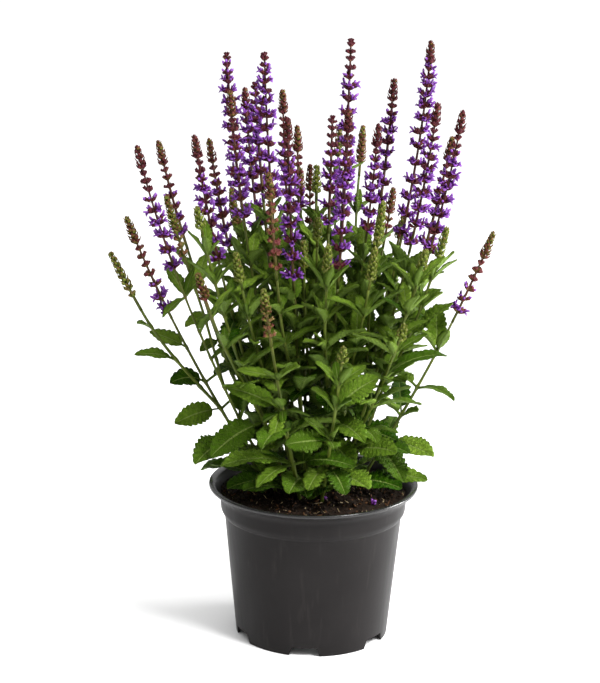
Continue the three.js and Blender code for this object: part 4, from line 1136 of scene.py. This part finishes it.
def cut_away(piece, cutters):
    """Cuts these solids out of a piece, once and for all, and clears them away."""
    gathered = bpy.data.collections.new("cutters")
    bpy.context.scene.collection.children.link(gathered)
    for each in cutters:
        gathered.objects.link(each)
    cut = piece.modifiers.new("cut", "BOOLEAN")
    cut.operand_type = "COLLECTION"
    cut.collection = gathered
    cut.operation = "DIFFERENCE"
    cut.solver = "EXACT"
    evaluated = piece.evaluated_get(bpy.context.evaluated_depsgraph_get())
    made = bpy.data.meshes.new_from_object(evaluated)
    made.name = piece.data.name
    made.set_sharp_from_angle(angle=SHARP_EDGE)
    piece.modifiers.clear()
    piece.data = made
    for each in cutters:
        bpy.data.objects.remove(each)
    bpy.data.collections.remove(gathered)


# The soil: its mesh, the low mound of its top, and its clods by their size, their depth and their direction.
SOIL_RINGS = 44
SOIL_SEGMENTS = 132
SOIL_GAP = 0.3
SOIL_ROUGHNESS = 0.42
SOIL_TONE = (0.3, 0.5, 0)
MOUND_RISE = 0.9
MOUND_FALL = 2.2
MOUND_RADII = (50, 82)
CLODS = [(17, 1.1, 0.3), (9, 1.0, 1.4), (5.3, 0.75, 2.2), (3.1, 0.5, 0.9)]

# What lies on the soil. Each row has, for each shape of crumb, their number, their sizes, how they are
# stretched, their finish and how far they are sunk. The fibres and the fallen petals have their own shapes.
SOIL_GRAIN, SOIL_CHIP, SOIL_FLECK, SOIL_PETAL = range(4)
CRUMB_SHAPES = 5
CRUMB_RADII = (0.62, 1.25)
LITTER = [
    (300, (1.0, 3.4), (1, 1, 1), SOIL_GRAIN, 0.35),
    (66, (1.6, 5.2), (1.3, 0.6, 0.28), SOIL_CHIP, 0.3),
    (12, (0.9, 2.0), (1, 0.8, 0.6), SOIL_FLECK, 0.2),
]
FIBRES = (110, (3, 8), (1, 1, 1), SOIL_FLECK, 0.35)
FALLEN_PETALS = (4, (4, 5.5), (1, 1, 1), SOIL_PETAL, 0.1)
STRETCH_SPREAD = 0.35

# The ball that crumbs are made from has edges shorter than this, and its other points lie further apart.
LONGEST_EDGE = 1.1


def soil_height(x, y):
    """The height of the soil's top: a low mound with clods of several sizes, a little lower at the wall."""
    radius = np.hypot(x, y)
    start, end = MOUND_RADII
    height = SOIL_TOP + MOUND_RISE - MOUND_FALL * smooth_step((radius - start) / (end - start))
    for size, depth, turn in CLODS:
        u = (x * math.cos(turn) + y * math.sin(turn)) / size
        v = (y * math.cos(turn) - x * math.sin(turn)) / size
        across = depth * np.sin(2 * math.pi * u + 1.7 * np.sin(4.1 * v))
        height = height + across * np.cos(5.3 * v + 1.1 * np.cos(3.7 * u))
    return height


def icosahedron():
    """The points and faces of a ball with 20 equal sides and a radius of 1."""
    golden = (1 + math.sqrt(5)) / 2
    points = []
    for a in (-1, 1):
        for b in (-golden, golden):
            points += [(0, a, b), (a, b, 0), (b, 0, a)]
    points = unit(np.array(points))
    faces = []
    for i in range(12):
        for j in range(i + 1, 12):
            for k in range(j + 1, 12):
                corners = points[[i, j, k]]
                sides = [np.linalg.norm(corners[a] - corners[b]) for a, b in ((0, 1), (1, 2), (2, 0))]
                if max(sides) < LONGEST_EDGE:
                    normal = np.cross(corners[1] - corners[0], corners[2] - corners[0])
                    facing = np.dot(normal, corners.sum(0))
                    faces.append((i, j, k) if facing > 0 else (i, k, j))
    return points, np.array(faces)


def random_turns(count, chance):
    """Rotations drawn evenly over all directions."""
    q = unit(chance.normal(size=(count, 4)))
    w, x, y, z = q.T
    return np.stack([
        np.stack([1 - 2 * (y * y + z * z), 2 * (x * y - w * z), 2 * (x * z + w * y)], -1),
        np.stack([2 * (x * y + w * z), 1 - 2 * (x * x + z * z), 2 * (y * z - w * x)], -1),
        np.stack([2 * (x * z - w * y), 2 * (y * z + w * x), 1 - 2 * (x * x + y * y)], -1),
    ], 1)


def scatter(piece, shape, chance, count, sizes, stretch, finish, sunk):
    """Strews rough copies of a shape over the soil, each stretched and turned its own way."""
    radius = (SOIL_RADIUS - 2) * np.sqrt(chance.uniform(0, 1, count))
    turn = chance.uniform(0, 2 * math.pi, count)
    x, y = radius * np.cos(turn), radius * np.sin(turn)
    size = chance.uniform(*sizes, count)
    turns = random_turns(count, chance)
    bases = turns * (1 + chance.uniform(-STRETCH_SPREAD, STRETCH_SPREAD, (count, 1, 3))) * np.array(stretch)
    origins = np.stack([x, y, soil_height(x, y) + size * (0.5 - sunk)], -1)
    tints = np.stack([chance.uniform(0, 1, count), chance.uniform(0, 1, count), np.zeros(count)], -1)
    copies(piece, shape, origins, bases, size, finish, tints)


def make_soil(finishes):
    """The soil fills the pot: its top is crumbly, and crumbs, bark chips and pale flecks lie on it."""
    chance = np.random.default_rng(SOIL_SEED)
    floor = FLOOR_TOP + SOIL_GAP
    side = [
        (0, floor), (FOOT_RADIUS - WALL + 0.3 - SOIL_GAP, floor), (78.1, 113.9), (81.8, 119.6),
        (82.7, 132.4), (SOIL_RADIUS, SOIL_TOP - 0.2),
    ]
    top = [(SOIL_RADIUS * (1 - (number + 0.5) / SOIL_RINGS), SOIL_TOP) for number in range(SOIL_RINGS)]
    points, faces = spun(np.array(side + top + [(0, SOIL_TOP)]), SOIL_SEGMENTS)
    on_top = points[:, 2] > SOIL_TOP - 1
    heights = soil_height(points[:, 0], points[:, 1]) + chance.normal(0, SOIL_ROUGHNESS, len(points))
    points[:, 2] = np.where(on_top, heights, points[:, 2])
    piece = Piece()
    piece.add(points, faces, SOIL_GRAIN, (0, 0, 0), SOIL_TONE)
    ball, ball_faces = icosahedron()
    for _ in range(CRUMB_SHAPES):
        rough = ball * chance.uniform(*CRUMB_RADII, (len(ball), 1)) / 2
        crumb = SimpleNamespace(points=rough, faces=[ball_faces], place=ball)
        for row in LITTER:
            scatter(piece, crumb, chance, *row)
    fibre = SimpleNamespace(points=ball * np.array([0.5, 0.06, 0.06]), faces=[ball_faces], place=ball)
    scatter(piece, fibre, chance, *FIBRES)
    scatter(piece, COROLLA, chance, *FALLEN_PETALS)
    return piece.make("soil_fill", finishes)


# Shading: small helpers, the effects that several materials share, and the materials.
class Nodes:
    """Adds nodes to a tree. A value given for an input is linked if it is a socket, and set if not."""

    def __init__(self, tree):
        self.tree = tree

    def add(self, kind, values=None, **settings):
        node = self.tree.nodes.new(kind)
        for key, value in settings.items():
            setattr(node, key, value)
        for key, value in (values or {}).items():
            self.feed(node.inputs[key], value)
        return node

    def feed(self, socket, value):
        if isinstance(value, bpy.types.NodeSocket):
            self.tree.links.new(value, socket)
        else:
            socket.default_value = value

    def math(self, operation, a, b=0.0, clamped=False):
        node = self.add("ShaderNodeMath", {0: a, 1: b}, operation=operation, use_clamp=clamped)
        return node.outputs[0]

    def mix(self, factor, a, b, blend="MIX"):
        node = self.tree.nodes.new("ShaderNodeMix")
        node.data_type = "RGBA"
        node.blend_type = blend
        for socket, value in ((node.inputs[0], factor), (node.inputs[6], a), (node.inputs[7], b)):
            self.feed(socket, value)
        return node.outputs[2]

    def ramp(self, factor, stops):
        node = self.add("ShaderNodeValToRGB", {"Fac": factor})
        elements = node.color_ramp.elements
        while len(elements) < len(stops):
            elements.new(0.5)
        for element, (position, colour) in zip(elements, stops):
            element.position = position
            element.color = colour
        return node.outputs["Color"]

    def noise(self, vector, scale, detail=3.0, roughness=0.55):
        values = {"Vector": vector, "Scale": scale, "Detail": detail, "Roughness": roughness}
        return self.add("ShaderNodeTexNoise", values).outputs["Fac"]

    def split(self, vector):
        return self.add("ShaderNodeSeparateXYZ", {"Vector": vector}).outputs

    def attribute(self, name):
        return self.split(self.add("ShaderNodeAttribute", attribute_name=name).outputs["Vector"])

    def between(self, value, low, high, to_low=0.0, to_high=1.0):
        values = {"Value": value, "From Min": low, "From Max": high, "To Min": to_low, "To Max": to_high}
        return self.add("ShaderNodeMapRange", values, interpolation_type="SMOOTHSTEP").outputs[0]


def colour(red, green, blue):
    """A colour given as it looks on a screen, from 0 to 255, as the shader wants it."""
    linear = []
    for value in (red, green, blue):
        share = value / 255
        linear.append(share / 12.92 if share <= 0.04045 else ((share + 0.055) / 1.055) ** 2.4)
    return (*linear, 1.0)


def effect(name, inputs, outputs):
    """An empty node group with these named inputs, as (name, kind, value), and outputs, as (name, kind)."""
    tree = bpy.data.node_groups.new(name, "ShaderNodeTree")
    for title, kind, value in inputs:
        socket = tree.interface.new_socket(name=title, in_out="INPUT", socket_type=kind)
        if value is not None:
            socket.default_value = value
    for title, kind in outputs:
        tree.interface.new_socket(name=title, in_out="OUTPUT", socket_type=kind)
    given, out = tree.nodes.new("NodeGroupInput"), tree.nodes.new("NodeGroupOutput")
    return tree, Nodes(tree), given.outputs, out.inputs


NUMBER, COLOUR, VECTOR = "NodeSocketFloat", "NodeSocketColor", "NodeSocketVector"


def make_mottle():
    """Soft patches of a second colour over a first."""
    tree, nodes, given, out = effect(
        "Mottle",
        [("Vector", VECTOR, None), ("Scale", NUMBER, 60.0), ("Amount", NUMBER, 0.5), ("Base", COLOUR, None),
         ("Patches", COLOUR, None)],
        [("Colour", COLOUR), ("Mask", NUMBER)],
    )
    broad = nodes.noise(given["Vector"], given["Scale"], 3.0)
    mask = nodes.between(broad, 0.34, 0.68)
    amount = nodes.math("MULTIPLY", mask, given["Amount"])
    nodes.feed(out["Colour"], nodes.mix(amount, given["Base"], given["Patches"]))
    nodes.feed(out["Mask"], mask)
    return tree


def make_grain():
    """Fine grain at two scales, as a height from 0 to 1."""
    tree, nodes, given, out = effect(
        "Fine grain",
        [("Vector", VECTOR, None), ("Scale", NUMBER, 800.0), ("Coarse Share", NUMBER, 0.4)],
        [("Height", NUMBER)],
    )
    fine = nodes.noise(given["Vector"], given["Scale"], 2.0)
    wide = nodes.noise(given["Vector"], nodes.math("MULTIPLY", given["Scale"], 0.22), 3.0)
    kept = nodes.math("MULTIPLY", fine, nodes.math("SUBTRACT", 1.0, given["Coarse Share"]))
    nodes.feed(out["Height"], nodes.math("ADD", kept, nodes.math("MULTIPLY", wide, given["Coarse Share"])))
    return tree


def make_veins():
    """A leaf's midrib, its side veins and the net between them, from where a point is on the blade."""
    tree, nodes, given, out = effect(
        "Leaf veins",
        [("Across", NUMBER, 0.0), ("Along", NUMBER, 0.0), ("Mark", NUMBER, 0.0)],
        [("Midrib", NUMBER), ("Side Veins", NUMBER), ("Height", NUMBER)],
    )
    edge = nodes.math("ABSOLUTE", given["Across"])
    narrowing = nodes.math("MULTIPLY", given["Along"], 0.04)
    width = nodes.math("SUBTRACT", 0.1, narrowing)
    inner = nodes.math("DIVIDE", edge, width)
    midrib = nodes.between(inner, 0.5, 1.0, 1.0, 0.0)
    count = nodes.math("MULTIPLY", given["Along"], SIDE_VEINS)
    curved = nodes.math("POWER", edge, 0.85)
    slant = nodes.math("MULTIPLY", curved, VEIN_SLANT)
    phase = nodes.math("SUBTRACT", count, slant)
    away = nodes.math("PINGPONG", phase, 0.5)
    side = nodes.between(away, 0.03, 0.11, 1.0, 0.0)
    inside = nodes.between(edge, 0.72, 0.98, 1.0, 0.0)
    side = nodes.math("MULTIPLY", side, inside)
    spot = nodes.add("ShaderNodeCombineXYZ", {
        "X": nodes.math("MULTIPLY", given["Across"], 5.0),
        "Y": nodes.math("MULTIPLY", given["Along"], 17.0),
        "Z": nodes.math("MULTIPLY", given["Mark"], 31.0),
    }).outputs[0]
    net = nodes.add("ShaderNodeTexVoronoi", {"Vector": spot, "Scale": 1.4}, feature="DISTANCE_TO_EDGE")
    cells = nodes.between(net.outputs[0], 0.0, 0.28)
    sunk = nodes.math("SUBTRACT", nodes.math("MULTIPLY", cells, 0.5), nodes.math("MULTIPLY", side, 0.7))
    nodes.feed(out["Midrib"], midrib)
    nodes.feed(out["Side Veins"], side)
    nodes.feed(out["Height"], nodes.math("SUBTRACT", sunk, nodes.math("MULTIPLY", midrib, 0.4)))
    return tree


def make_ripening():
    """From green over olive and red-brown to deep plum, as stems, bracts and calyces ripen."""
    tree, nodes, given, out = effect(
        "Ripening",
        [("Ripeness", NUMBER, 0.5), ("Vector", VECTOR, None), ("Unevenness", NUMBER, 0.2)],
        [("Colour", COLOUR)],
    )
    patches = nodes.noise(given["Vector"], 260.0, 2.0)
    centred = nodes.math("MULTIPLY", nodes.math("SUBTRACT", patches, 0.5), given["Unevenness"])
    ripe = nodes.math("ADD", given["Ripeness"], centred, clamped=True)
    stops = [
        (0.0, colour(124, 142, 52)),
        (0.22, colour(106, 112, 42)),
        (0.42, colour(116, 88, 46)),
        (0.62, colour(104, 54, 46)),
        (0.82, colour(94, 36, 48)),
        (1.0, colour(60, 18, 34)),
    ]
    nodes.feed(out["Colour"], nodes.ramp(ripe, stops))
    return tree


def material(name):
    made = bpy.data.materials.new(name)
    made.use_nodes = True
    nodes = Nodes(made.node_tree)
    shader = made.node_tree.nodes["Principled BSDF"]
    spot = nodes.add("ShaderNodeTexCoord").outputs["Object"]
    return made, nodes, shader, spot


def use(nodes, tree, **values):
    """Places a shared effect, and gives each of its inputs its value."""
    node = nodes.add("ShaderNodeGroup", node_tree=tree)
    for title, value in values.items():
        nodes.feed(node.inputs[title.replace("_", " ")], value)
    return node.outputs


def raise_surface(nodes, shader, height, strength, distance):
    bump = nodes.add("ShaderNodeBump", {"Height": height, "Strength": strength, "Distance": distance})
    nodes.feed(shader.inputs["Normal"], bump.outputs["Normal"])


def raise_grain(nodes, shader, effects, spot, scale, strength, distance):
    """A relief of fine grain alone."""
    grain = use(nodes, effects.grain, Vector=spot, Scale=scale, Coarse_Share=0.5)
    raise_surface(nodes, shader, grain["Height"], strength, distance)


def set_gloss(shader, roughness, specular):
    """One roughness and one specular level all over."""
    shader.inputs["Roughness"].default_value = roughness
    shader.inputs["Specular IOR Level"].default_value = specular


def leaf_finish(effects):
    """Rugged matte green, paler veins, and a greyer underside."""
    made, nodes, shader, spot = material("sage_leaf")
    across, along, mark = nodes.attribute("place")
    lightness, under, stalk = nodes.attribute("tint")
    veins = use(nodes, effects.veins, Across=across, Along=along, Mark=mark)
    dark, light = colour(26, 63, 0), colour(130, 159, 54)
    green = nodes.mix(lightness, dark, light)
    grassy = colour(64, 102, 6)
    patches = use(nodes, effects.mottle, Vector=spot, Scale=210.0, Amount=0.5, Base=green, Patches=grassy)
    # Painted shade: the blade is darkened where it is sunk, along its side veins and in the net between its
    # cells.
    sunk = nodes.between(veins["Height"], -0.3, 0.5, 0.38, 0.0)
    quilted = nodes.mix(sunk, patches["Colour"], colour(24, 52, 0))
    sided = nodes.mix(nodes.math("MULTIPLY", veins["Side Veins"], 0.28), quilted, colour(112, 140, 52))
    ribbed = nodes.mix(nodes.math("MULTIPLY", veins["Midrib"], 0.7), sided, colour(140, 160, 84))
    stalked = nodes.mix(stalk, ribbed, colour(100, 126, 42))
    pale = nodes.mix(nodes.math("MULTIPLY", under, 0.65), stalked, colour(122, 148, 70))
    nodes.feed(shader.inputs["Base Color"], pale)
    nodes.feed(shader.inputs["Roughness"], nodes.between(patches["Mask"], 0.0, 1.0, 0.46, 0.6))
    shader.inputs["Specular IOR Level"].default_value = 0.12
    shader.inputs["Specular Tint"].default_value = colour(240, 255, 170)
    grain = use(nodes, effects.grain, Vector=spot, Scale=1100.0, Coarse_Share=0.5)
    height = nodes.math("ADD", veins["Height"], nodes.math("MULTIPLY", grain["Height"], 0.5))
    raise_surface(nodes, shader, height, 1.0, 0.0012)
    return made


def stem_finish(effects):
    """Soft green stems with lighter edges, flushed with plum up the spikes."""
    made, nodes, shader, spot = material("sage_stem")
    flush, edge, _ = nodes.attribute("tint")
    ripe = use(nodes, effects.ripening, Ripeness=flush, Vector=spot, Unevenness=0.25)
    edged = nodes.mix(nodes.between(edge, 0.85, 1.0, 0.0, 0.25), ripe["Colour"], colour(104, 126, 44))
    darker = nodes.mix(1.0, edged, colour(188, 188, 176), "MULTIPLY")
    amount = nodes.between(flush, 0.25, 0.75, 0.6, 0.15)
    shade = colour(50, 66, 18)
    patches = use(nodes, effects.mottle, Vector=spot, Scale=90.0, Amount=amount, Base=darker, Patches=shade)
    nodes.feed(shader.inputs["Base Color"], patches["Colour"])
    set_gloss(shader, 0.55, 0.2)
    raise_grain(nodes, shader, effects, spot, 1600.0, 0.4, 0.0003)
    return made


def calyx_finish(effects):
    """Ribbed bells, bracts and scales, from green to deep plum, with a fine down."""
    made, nodes, shader, spot = material("sage_calyx")
    around, along, _ = nodes.attribute("place")
    ripe, _, _ = nodes.attribute("tint")
    tipped = nodes.math("ADD", ripe, nodes.between(along, 0.25, 0.9, -0.2, 0.16), clamped=True)
    ripening = use(nodes, effects.ripening, Ripeness=tipped, Vector=spot, Unevenness=0.3)
    ribs = nodes.math("PINGPONG", nodes.math("MULTIPLY", around, 8.0), 0.5)
    # Painted shade: the folds between the ribs of each bell, bract and scale are darkened.
    painted_fold_shade = nodes.between(ribs, 0.0, 0.5, 0.62, 0.0)
    shaded = nodes.mix(painted_fold_shade, ripening["Colour"], colour(136, 108, 112), "MULTIPLY")
    # The tips are paler: partly the scales' own pale edges, partly a painted highlight.
    tip_tone_and_highlight = nodes.mix(nodes.between(ripe, 0.2, 0.5), colour(178, 186, 124), colour(116, 66, 60))
    edges = nodes.between(along, 0.6, 1.0, 0.0, 0.26)
    nodes.feed(shader.inputs["Base Color"], nodes.mix(edges, shaded, tip_tone_and_highlight))
    set_gloss(shader, 0.58, 0.12)
    grain = use(nodes, effects.grain, Vector=spot, Scale=2200.0, Coarse_Share=0.3)
    raise_surface(nodes, shader, nodes.math("ADD", ribs, grain["Height"]), 0.5, 0.0003)
    return made


def petal_finish(effects):
    """Violet-blue petals, with a painted highlight towards their lips and painted shade down the throat."""
    made, nodes, shader, spot = material("sage_petal")
    _, along, _ = nodes.attribute("place")
    lightness, _, _ = nodes.attribute("tint")
    body = nodes.mix(lightness, colour(90, 26, 108), colour(122, 52, 146))
    # Painted highlight: the petals are lightened towards their lips.
    lit = nodes.mix(nodes.between(along, 0.1, 0.9, 0.0, 0.6), body, colour(154, 106, 196))
    # Painted shade: the petals are darkened down the throat.
    deep = nodes.mix(nodes.between(along, -0.3, 0.3, 0.7, 0.0), lit, colour(70, 16, 52))
    violet = colour(84, 26, 124)
    patches = use(nodes, effects.mottle, Vector=spot, Scale=240.0, Amount=0.4, Base=deep, Patches=violet)
    nodes.feed(shader.inputs["Base Color"], patches["Colour"])
    set_gloss(shader, 0.6, 0.2)
    raise_grain(nodes, shader, effects, spot, 1800.0, 0.35, 0.0003)
    return made


# The heights between which the pot's dull side turns into its glossier rim, in metres. Over them the rim's
# colour is also darkened, as painted shade.
RIM_GLOSS_AND_SHADE = (0.136, 0.14)


def pot_finish(effects):
    """Moulded charcoal plastic with a satin gloss, faint scuffs and a little dust."""
    made, nodes, shader, spot = material("pot_plastic")
    base, scuffed = colour(29, 27, 27), colour(34, 32, 32)
    scuffs = use(nodes, effects.mottle, Vector=spot, Scale=22.0, Amount=0.5, Base=base, Patches=scuffed)
    streaks = nodes.add("ShaderNodeMapping", {"Vector": spot, "Scale": (1.0, 1.0, 0.08)}).outputs[0]
    drawn = nodes.noise(streaks, 180.0, 3.0)
    dusty = nodes.mix(nodes.between(drawn, 0.55, 0.8, 0.0, 0.1), scuffs["Colour"], colour(84, 79, 76))
    # Over the rim the base colour is darkened as painted shade, and a glossy coat is added.
    rim = nodes.between(nodes.split(spot)["Z"], *RIM_GLOSS_AND_SHADE)
    nodes.feed(shader.inputs["Base Color"], nodes.mix(rim, dusty, colour(14, 13, 13)))
    nodes.feed(shader.inputs["Roughness"], nodes.between(drawn, 0.3, 0.7, 0.34, 0.42))
    nodes.feed(shader.inputs["Coat Weight"], nodes.math("MULTIPLY", rim, 0.9))
    shader.inputs["Coat Roughness"].default_value = 0.2
    shader.inputs["Specular IOR Level"].default_value = 0.08
    raise_grain(nodes, shader, effects, spot, 1100.0, 0.12, 0.0004)
    return made


def soil_finish(effects, name, base, patches, roughness):
    """Dull peat, bark or straw, mottled, and lighter from crumb to crumb."""
    made, nodes, shader, spot = material(name)
    lightness, _, _ = nodes.attribute("tint")
    mottled = use(nodes, effects.mottle, Vector=spot, Scale=420.0, Amount=0.8, Base=base, Patches=patches)
    lit = nodes.mix(nodes.math("MULTIPLY", lightness, 0.5), mottled["Colour"], patches)
    nodes.feed(shader.inputs["Base Color"], lit)
    set_gloss(shader, roughness, 0.15)
    raise_grain(nodes, shader, effects, spot, 1500.0, 0.9, 0.0012)
    return made


def floor_finish():
    made, nodes, shader, spot = material("pale_floor")
    tone = nodes.noise(spot, 0.4, 2.0)
    nodes.feed(shader.inputs["Base Color"], nodes.mix(tone, (0.93, 0.93, 0.93, 1), (0.96, 0.96, 0.96, 1)))
    set_gloss(shader, 0.9, 0.1)
    return made


# The setting: camera, floor and light.
CAMERA_PLACE = (-13.9, -1900, 780.2)
CAMERA_PITCH = 0.2608
CAMERA_ROLL = -0.0132
FOCAL_PIXELS = 2204
FRAME_HEIGHT = 683
SENSOR = 36
FLOOR_HALF = 60.0
HORIZON_LIGHT = 0.35
OVERHEAD_LIGHT = 1.7
LEFT_SHADE = 0.34

# The lamps by their name, their place and their power. All have one size and shine at one point.
LAMPS = [("key", (1.3, -1.3, 2.0), 84), ("side", (1.9, 0.3, 0.5), 56)]
LAMP_SIZE = 0.8
LIT_POINT = (0, 0, 0.3)


def set_camera():
    data = bpy.data.cameras.new("camera")
    data.sensor_width = SENSOR
    data.sensor_fit = "AUTO"
    data.lens = SENSOR * FOCAL_PIXELS / FRAME_HEIGHT
    data.clip_end = 200
    camera = bpy.data.objects.new("camera", data)
    right = np.array([1.0, 0, 0])
    ahead = np.array([0, math.cos(CAMERA_PITCH), -math.sin(CAMERA_PITCH)])
    above = np.cross(right, ahead)
    turned_right = right * math.cos(CAMERA_ROLL) - above * math.sin(CAMERA_ROLL)
    turned_above = right * math.sin(CAMERA_ROLL) + above * math.cos(CAMERA_ROLL)
    place = np.array(CAMERA_PLACE) * MM + POT_AXIS
    columns = np.stack([turned_right, turned_above, -ahead, place], -1)
    camera.matrix_world = Matrix([*columns.tolist(), [0, 0, 0, 1]])
    bpy.context.scene.collection.objects.link(camera)
    bpy.context.scene.camera = camera


def set_floor():
    mesh = bpy.data.meshes.new("floor")
    corners = [(-FLOOR_HALF, -FLOOR_HALF, 0), (FLOOR_HALF, -FLOOR_HALF, 0), (FLOOR_HALF, FLOOR_HALF, 0)]
    mesh.from_pydata(corners + [(-FLOOR_HALF, FLOOR_HALF, 0)], [], [(0, 1, 2, 3)])
    mesh.materials.append(floor_finish())
    floor = bpy.data.objects.new("floor", mesh)
    bpy.context.scene.collection.objects.link(floor)


def set_lamp(name, place, power):
    """A soft round lamp that shines at the middle of the plant."""
    data = bpy.data.lights.new(name, "AREA")
    data.shape = "DISK"
    data.size = LAMP_SIZE
    data.energy = power
    light = bpy.data.objects.new(name, data)
    away = unit(np.array(place) - np.array(LIT_POINT))
    right = unit(np.cross([0, 0, 1], away))
    columns = np.stack([right, np.cross(away, right), away, place], -1)
    light.matrix_world = Matrix([*columns.tolist(), [0, 0, 0, 1]])
    bpy.context.scene.collection.objects.link(light)


def set_lights():
    world = bpy.data.worlds.new("studio")
    world.use_nodes = True
    nodes = Nodes(world.node_tree)
    across, _, height = nodes.split(nodes.add("ShaderNodeTexCoord").outputs["Generated"])
    overhead = nodes.between(height, 0.0, 1.0, HORIZON_LIGHT, OVERHEAD_LIGHT)
    shaded = nodes.between(across, -1.0, 0.1, LEFT_SHADE, 1.0)
    background = world.node_tree.nodes["Background"]
    background.inputs["Color"].default_value = (1, 1, 1, 1)
    nodes.feed(background.inputs["Strength"], nodes.math("MULTIPLY", overhead, shaded))
    bpy.context.scene.world = world
    for name, place, power in LAMPS:
        set_lamp(name, place, power)
    bpy.context.scene.view_settings.view_transform = "Standard"


def put(piece, slot, *nodes):
    """A piece rides on the object and stands for its nodes, which are hidden; its slot is not used."""
    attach(piece, "root")
    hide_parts(*nodes)


set_camera()
set_floor()
set_lights()

effects = SimpleNamespace(
    mottle=make_mottle(), grain=make_grain(), veins=make_veins(), ripening=make_ripening()
)
plant_finishes = [leaf_finish(effects), stem_finish(effects), calyx_finish(effects), petal_finish(effects)]
soil_finishes = [
    soil_finish(effects, "soil_crumb", colour(12, 8, 5), colour(42, 28, 17), 0.8),
    soil_finish(effects, "soil_bark", colour(40, 25, 14), colour(96, 64, 38), 0.7),
    soil_finish(effects, "soil_fleck", colour(128, 104, 70), colour(176, 160, 128), 0.7),
    plant_finishes[PETAL],
]

put(make_pot([pot_finish(effects)]), "pot_plastic", "pot")
put(make_soil(soil_finishes), "soil", "potting_soil")

shoots = grow_shoots()
paired = [leaf for shoot in shoots for leaf in leaves_of(shoot, shoots)]
leaves = settle_leaves(paired + tufts_of(paired), shoots)
for stem in range(len(STEMS)):
    piece = Piece()
    chance = np.random.default_rng(STEM_SEED + stem)
    for shoot in shoots:
        if shoot.stem == stem:
            add_stem(piece, shoot)
            if shoot.look == "green":
                add_spike(piece, shoot, chance)
    for leaf in leaves:
        if leaf.shoot.stem == stem:
            add_leaf(piece, leaf, chance)
    put(piece.make(f"sage_stem_{stem + 1:02d}", plant_finishes), "foliage", f"leafy_stem_{stem + 1:02d}")
for number, shoot in enumerate(shoot for shoot in shoots if shoot.look != "green"):
    piece = Piece()
    add_spike(piece, shoot, np.random.default_rng(SPIKE_SEED + number))
    slot = "plum_spikes" if shoot.look == "calyx" else "violet_spikes"
    put(piece.make(f"sage_spike_{number + 1:02d}", plant_finishes), slot, f"flower_spike_{number + 1:02d}")
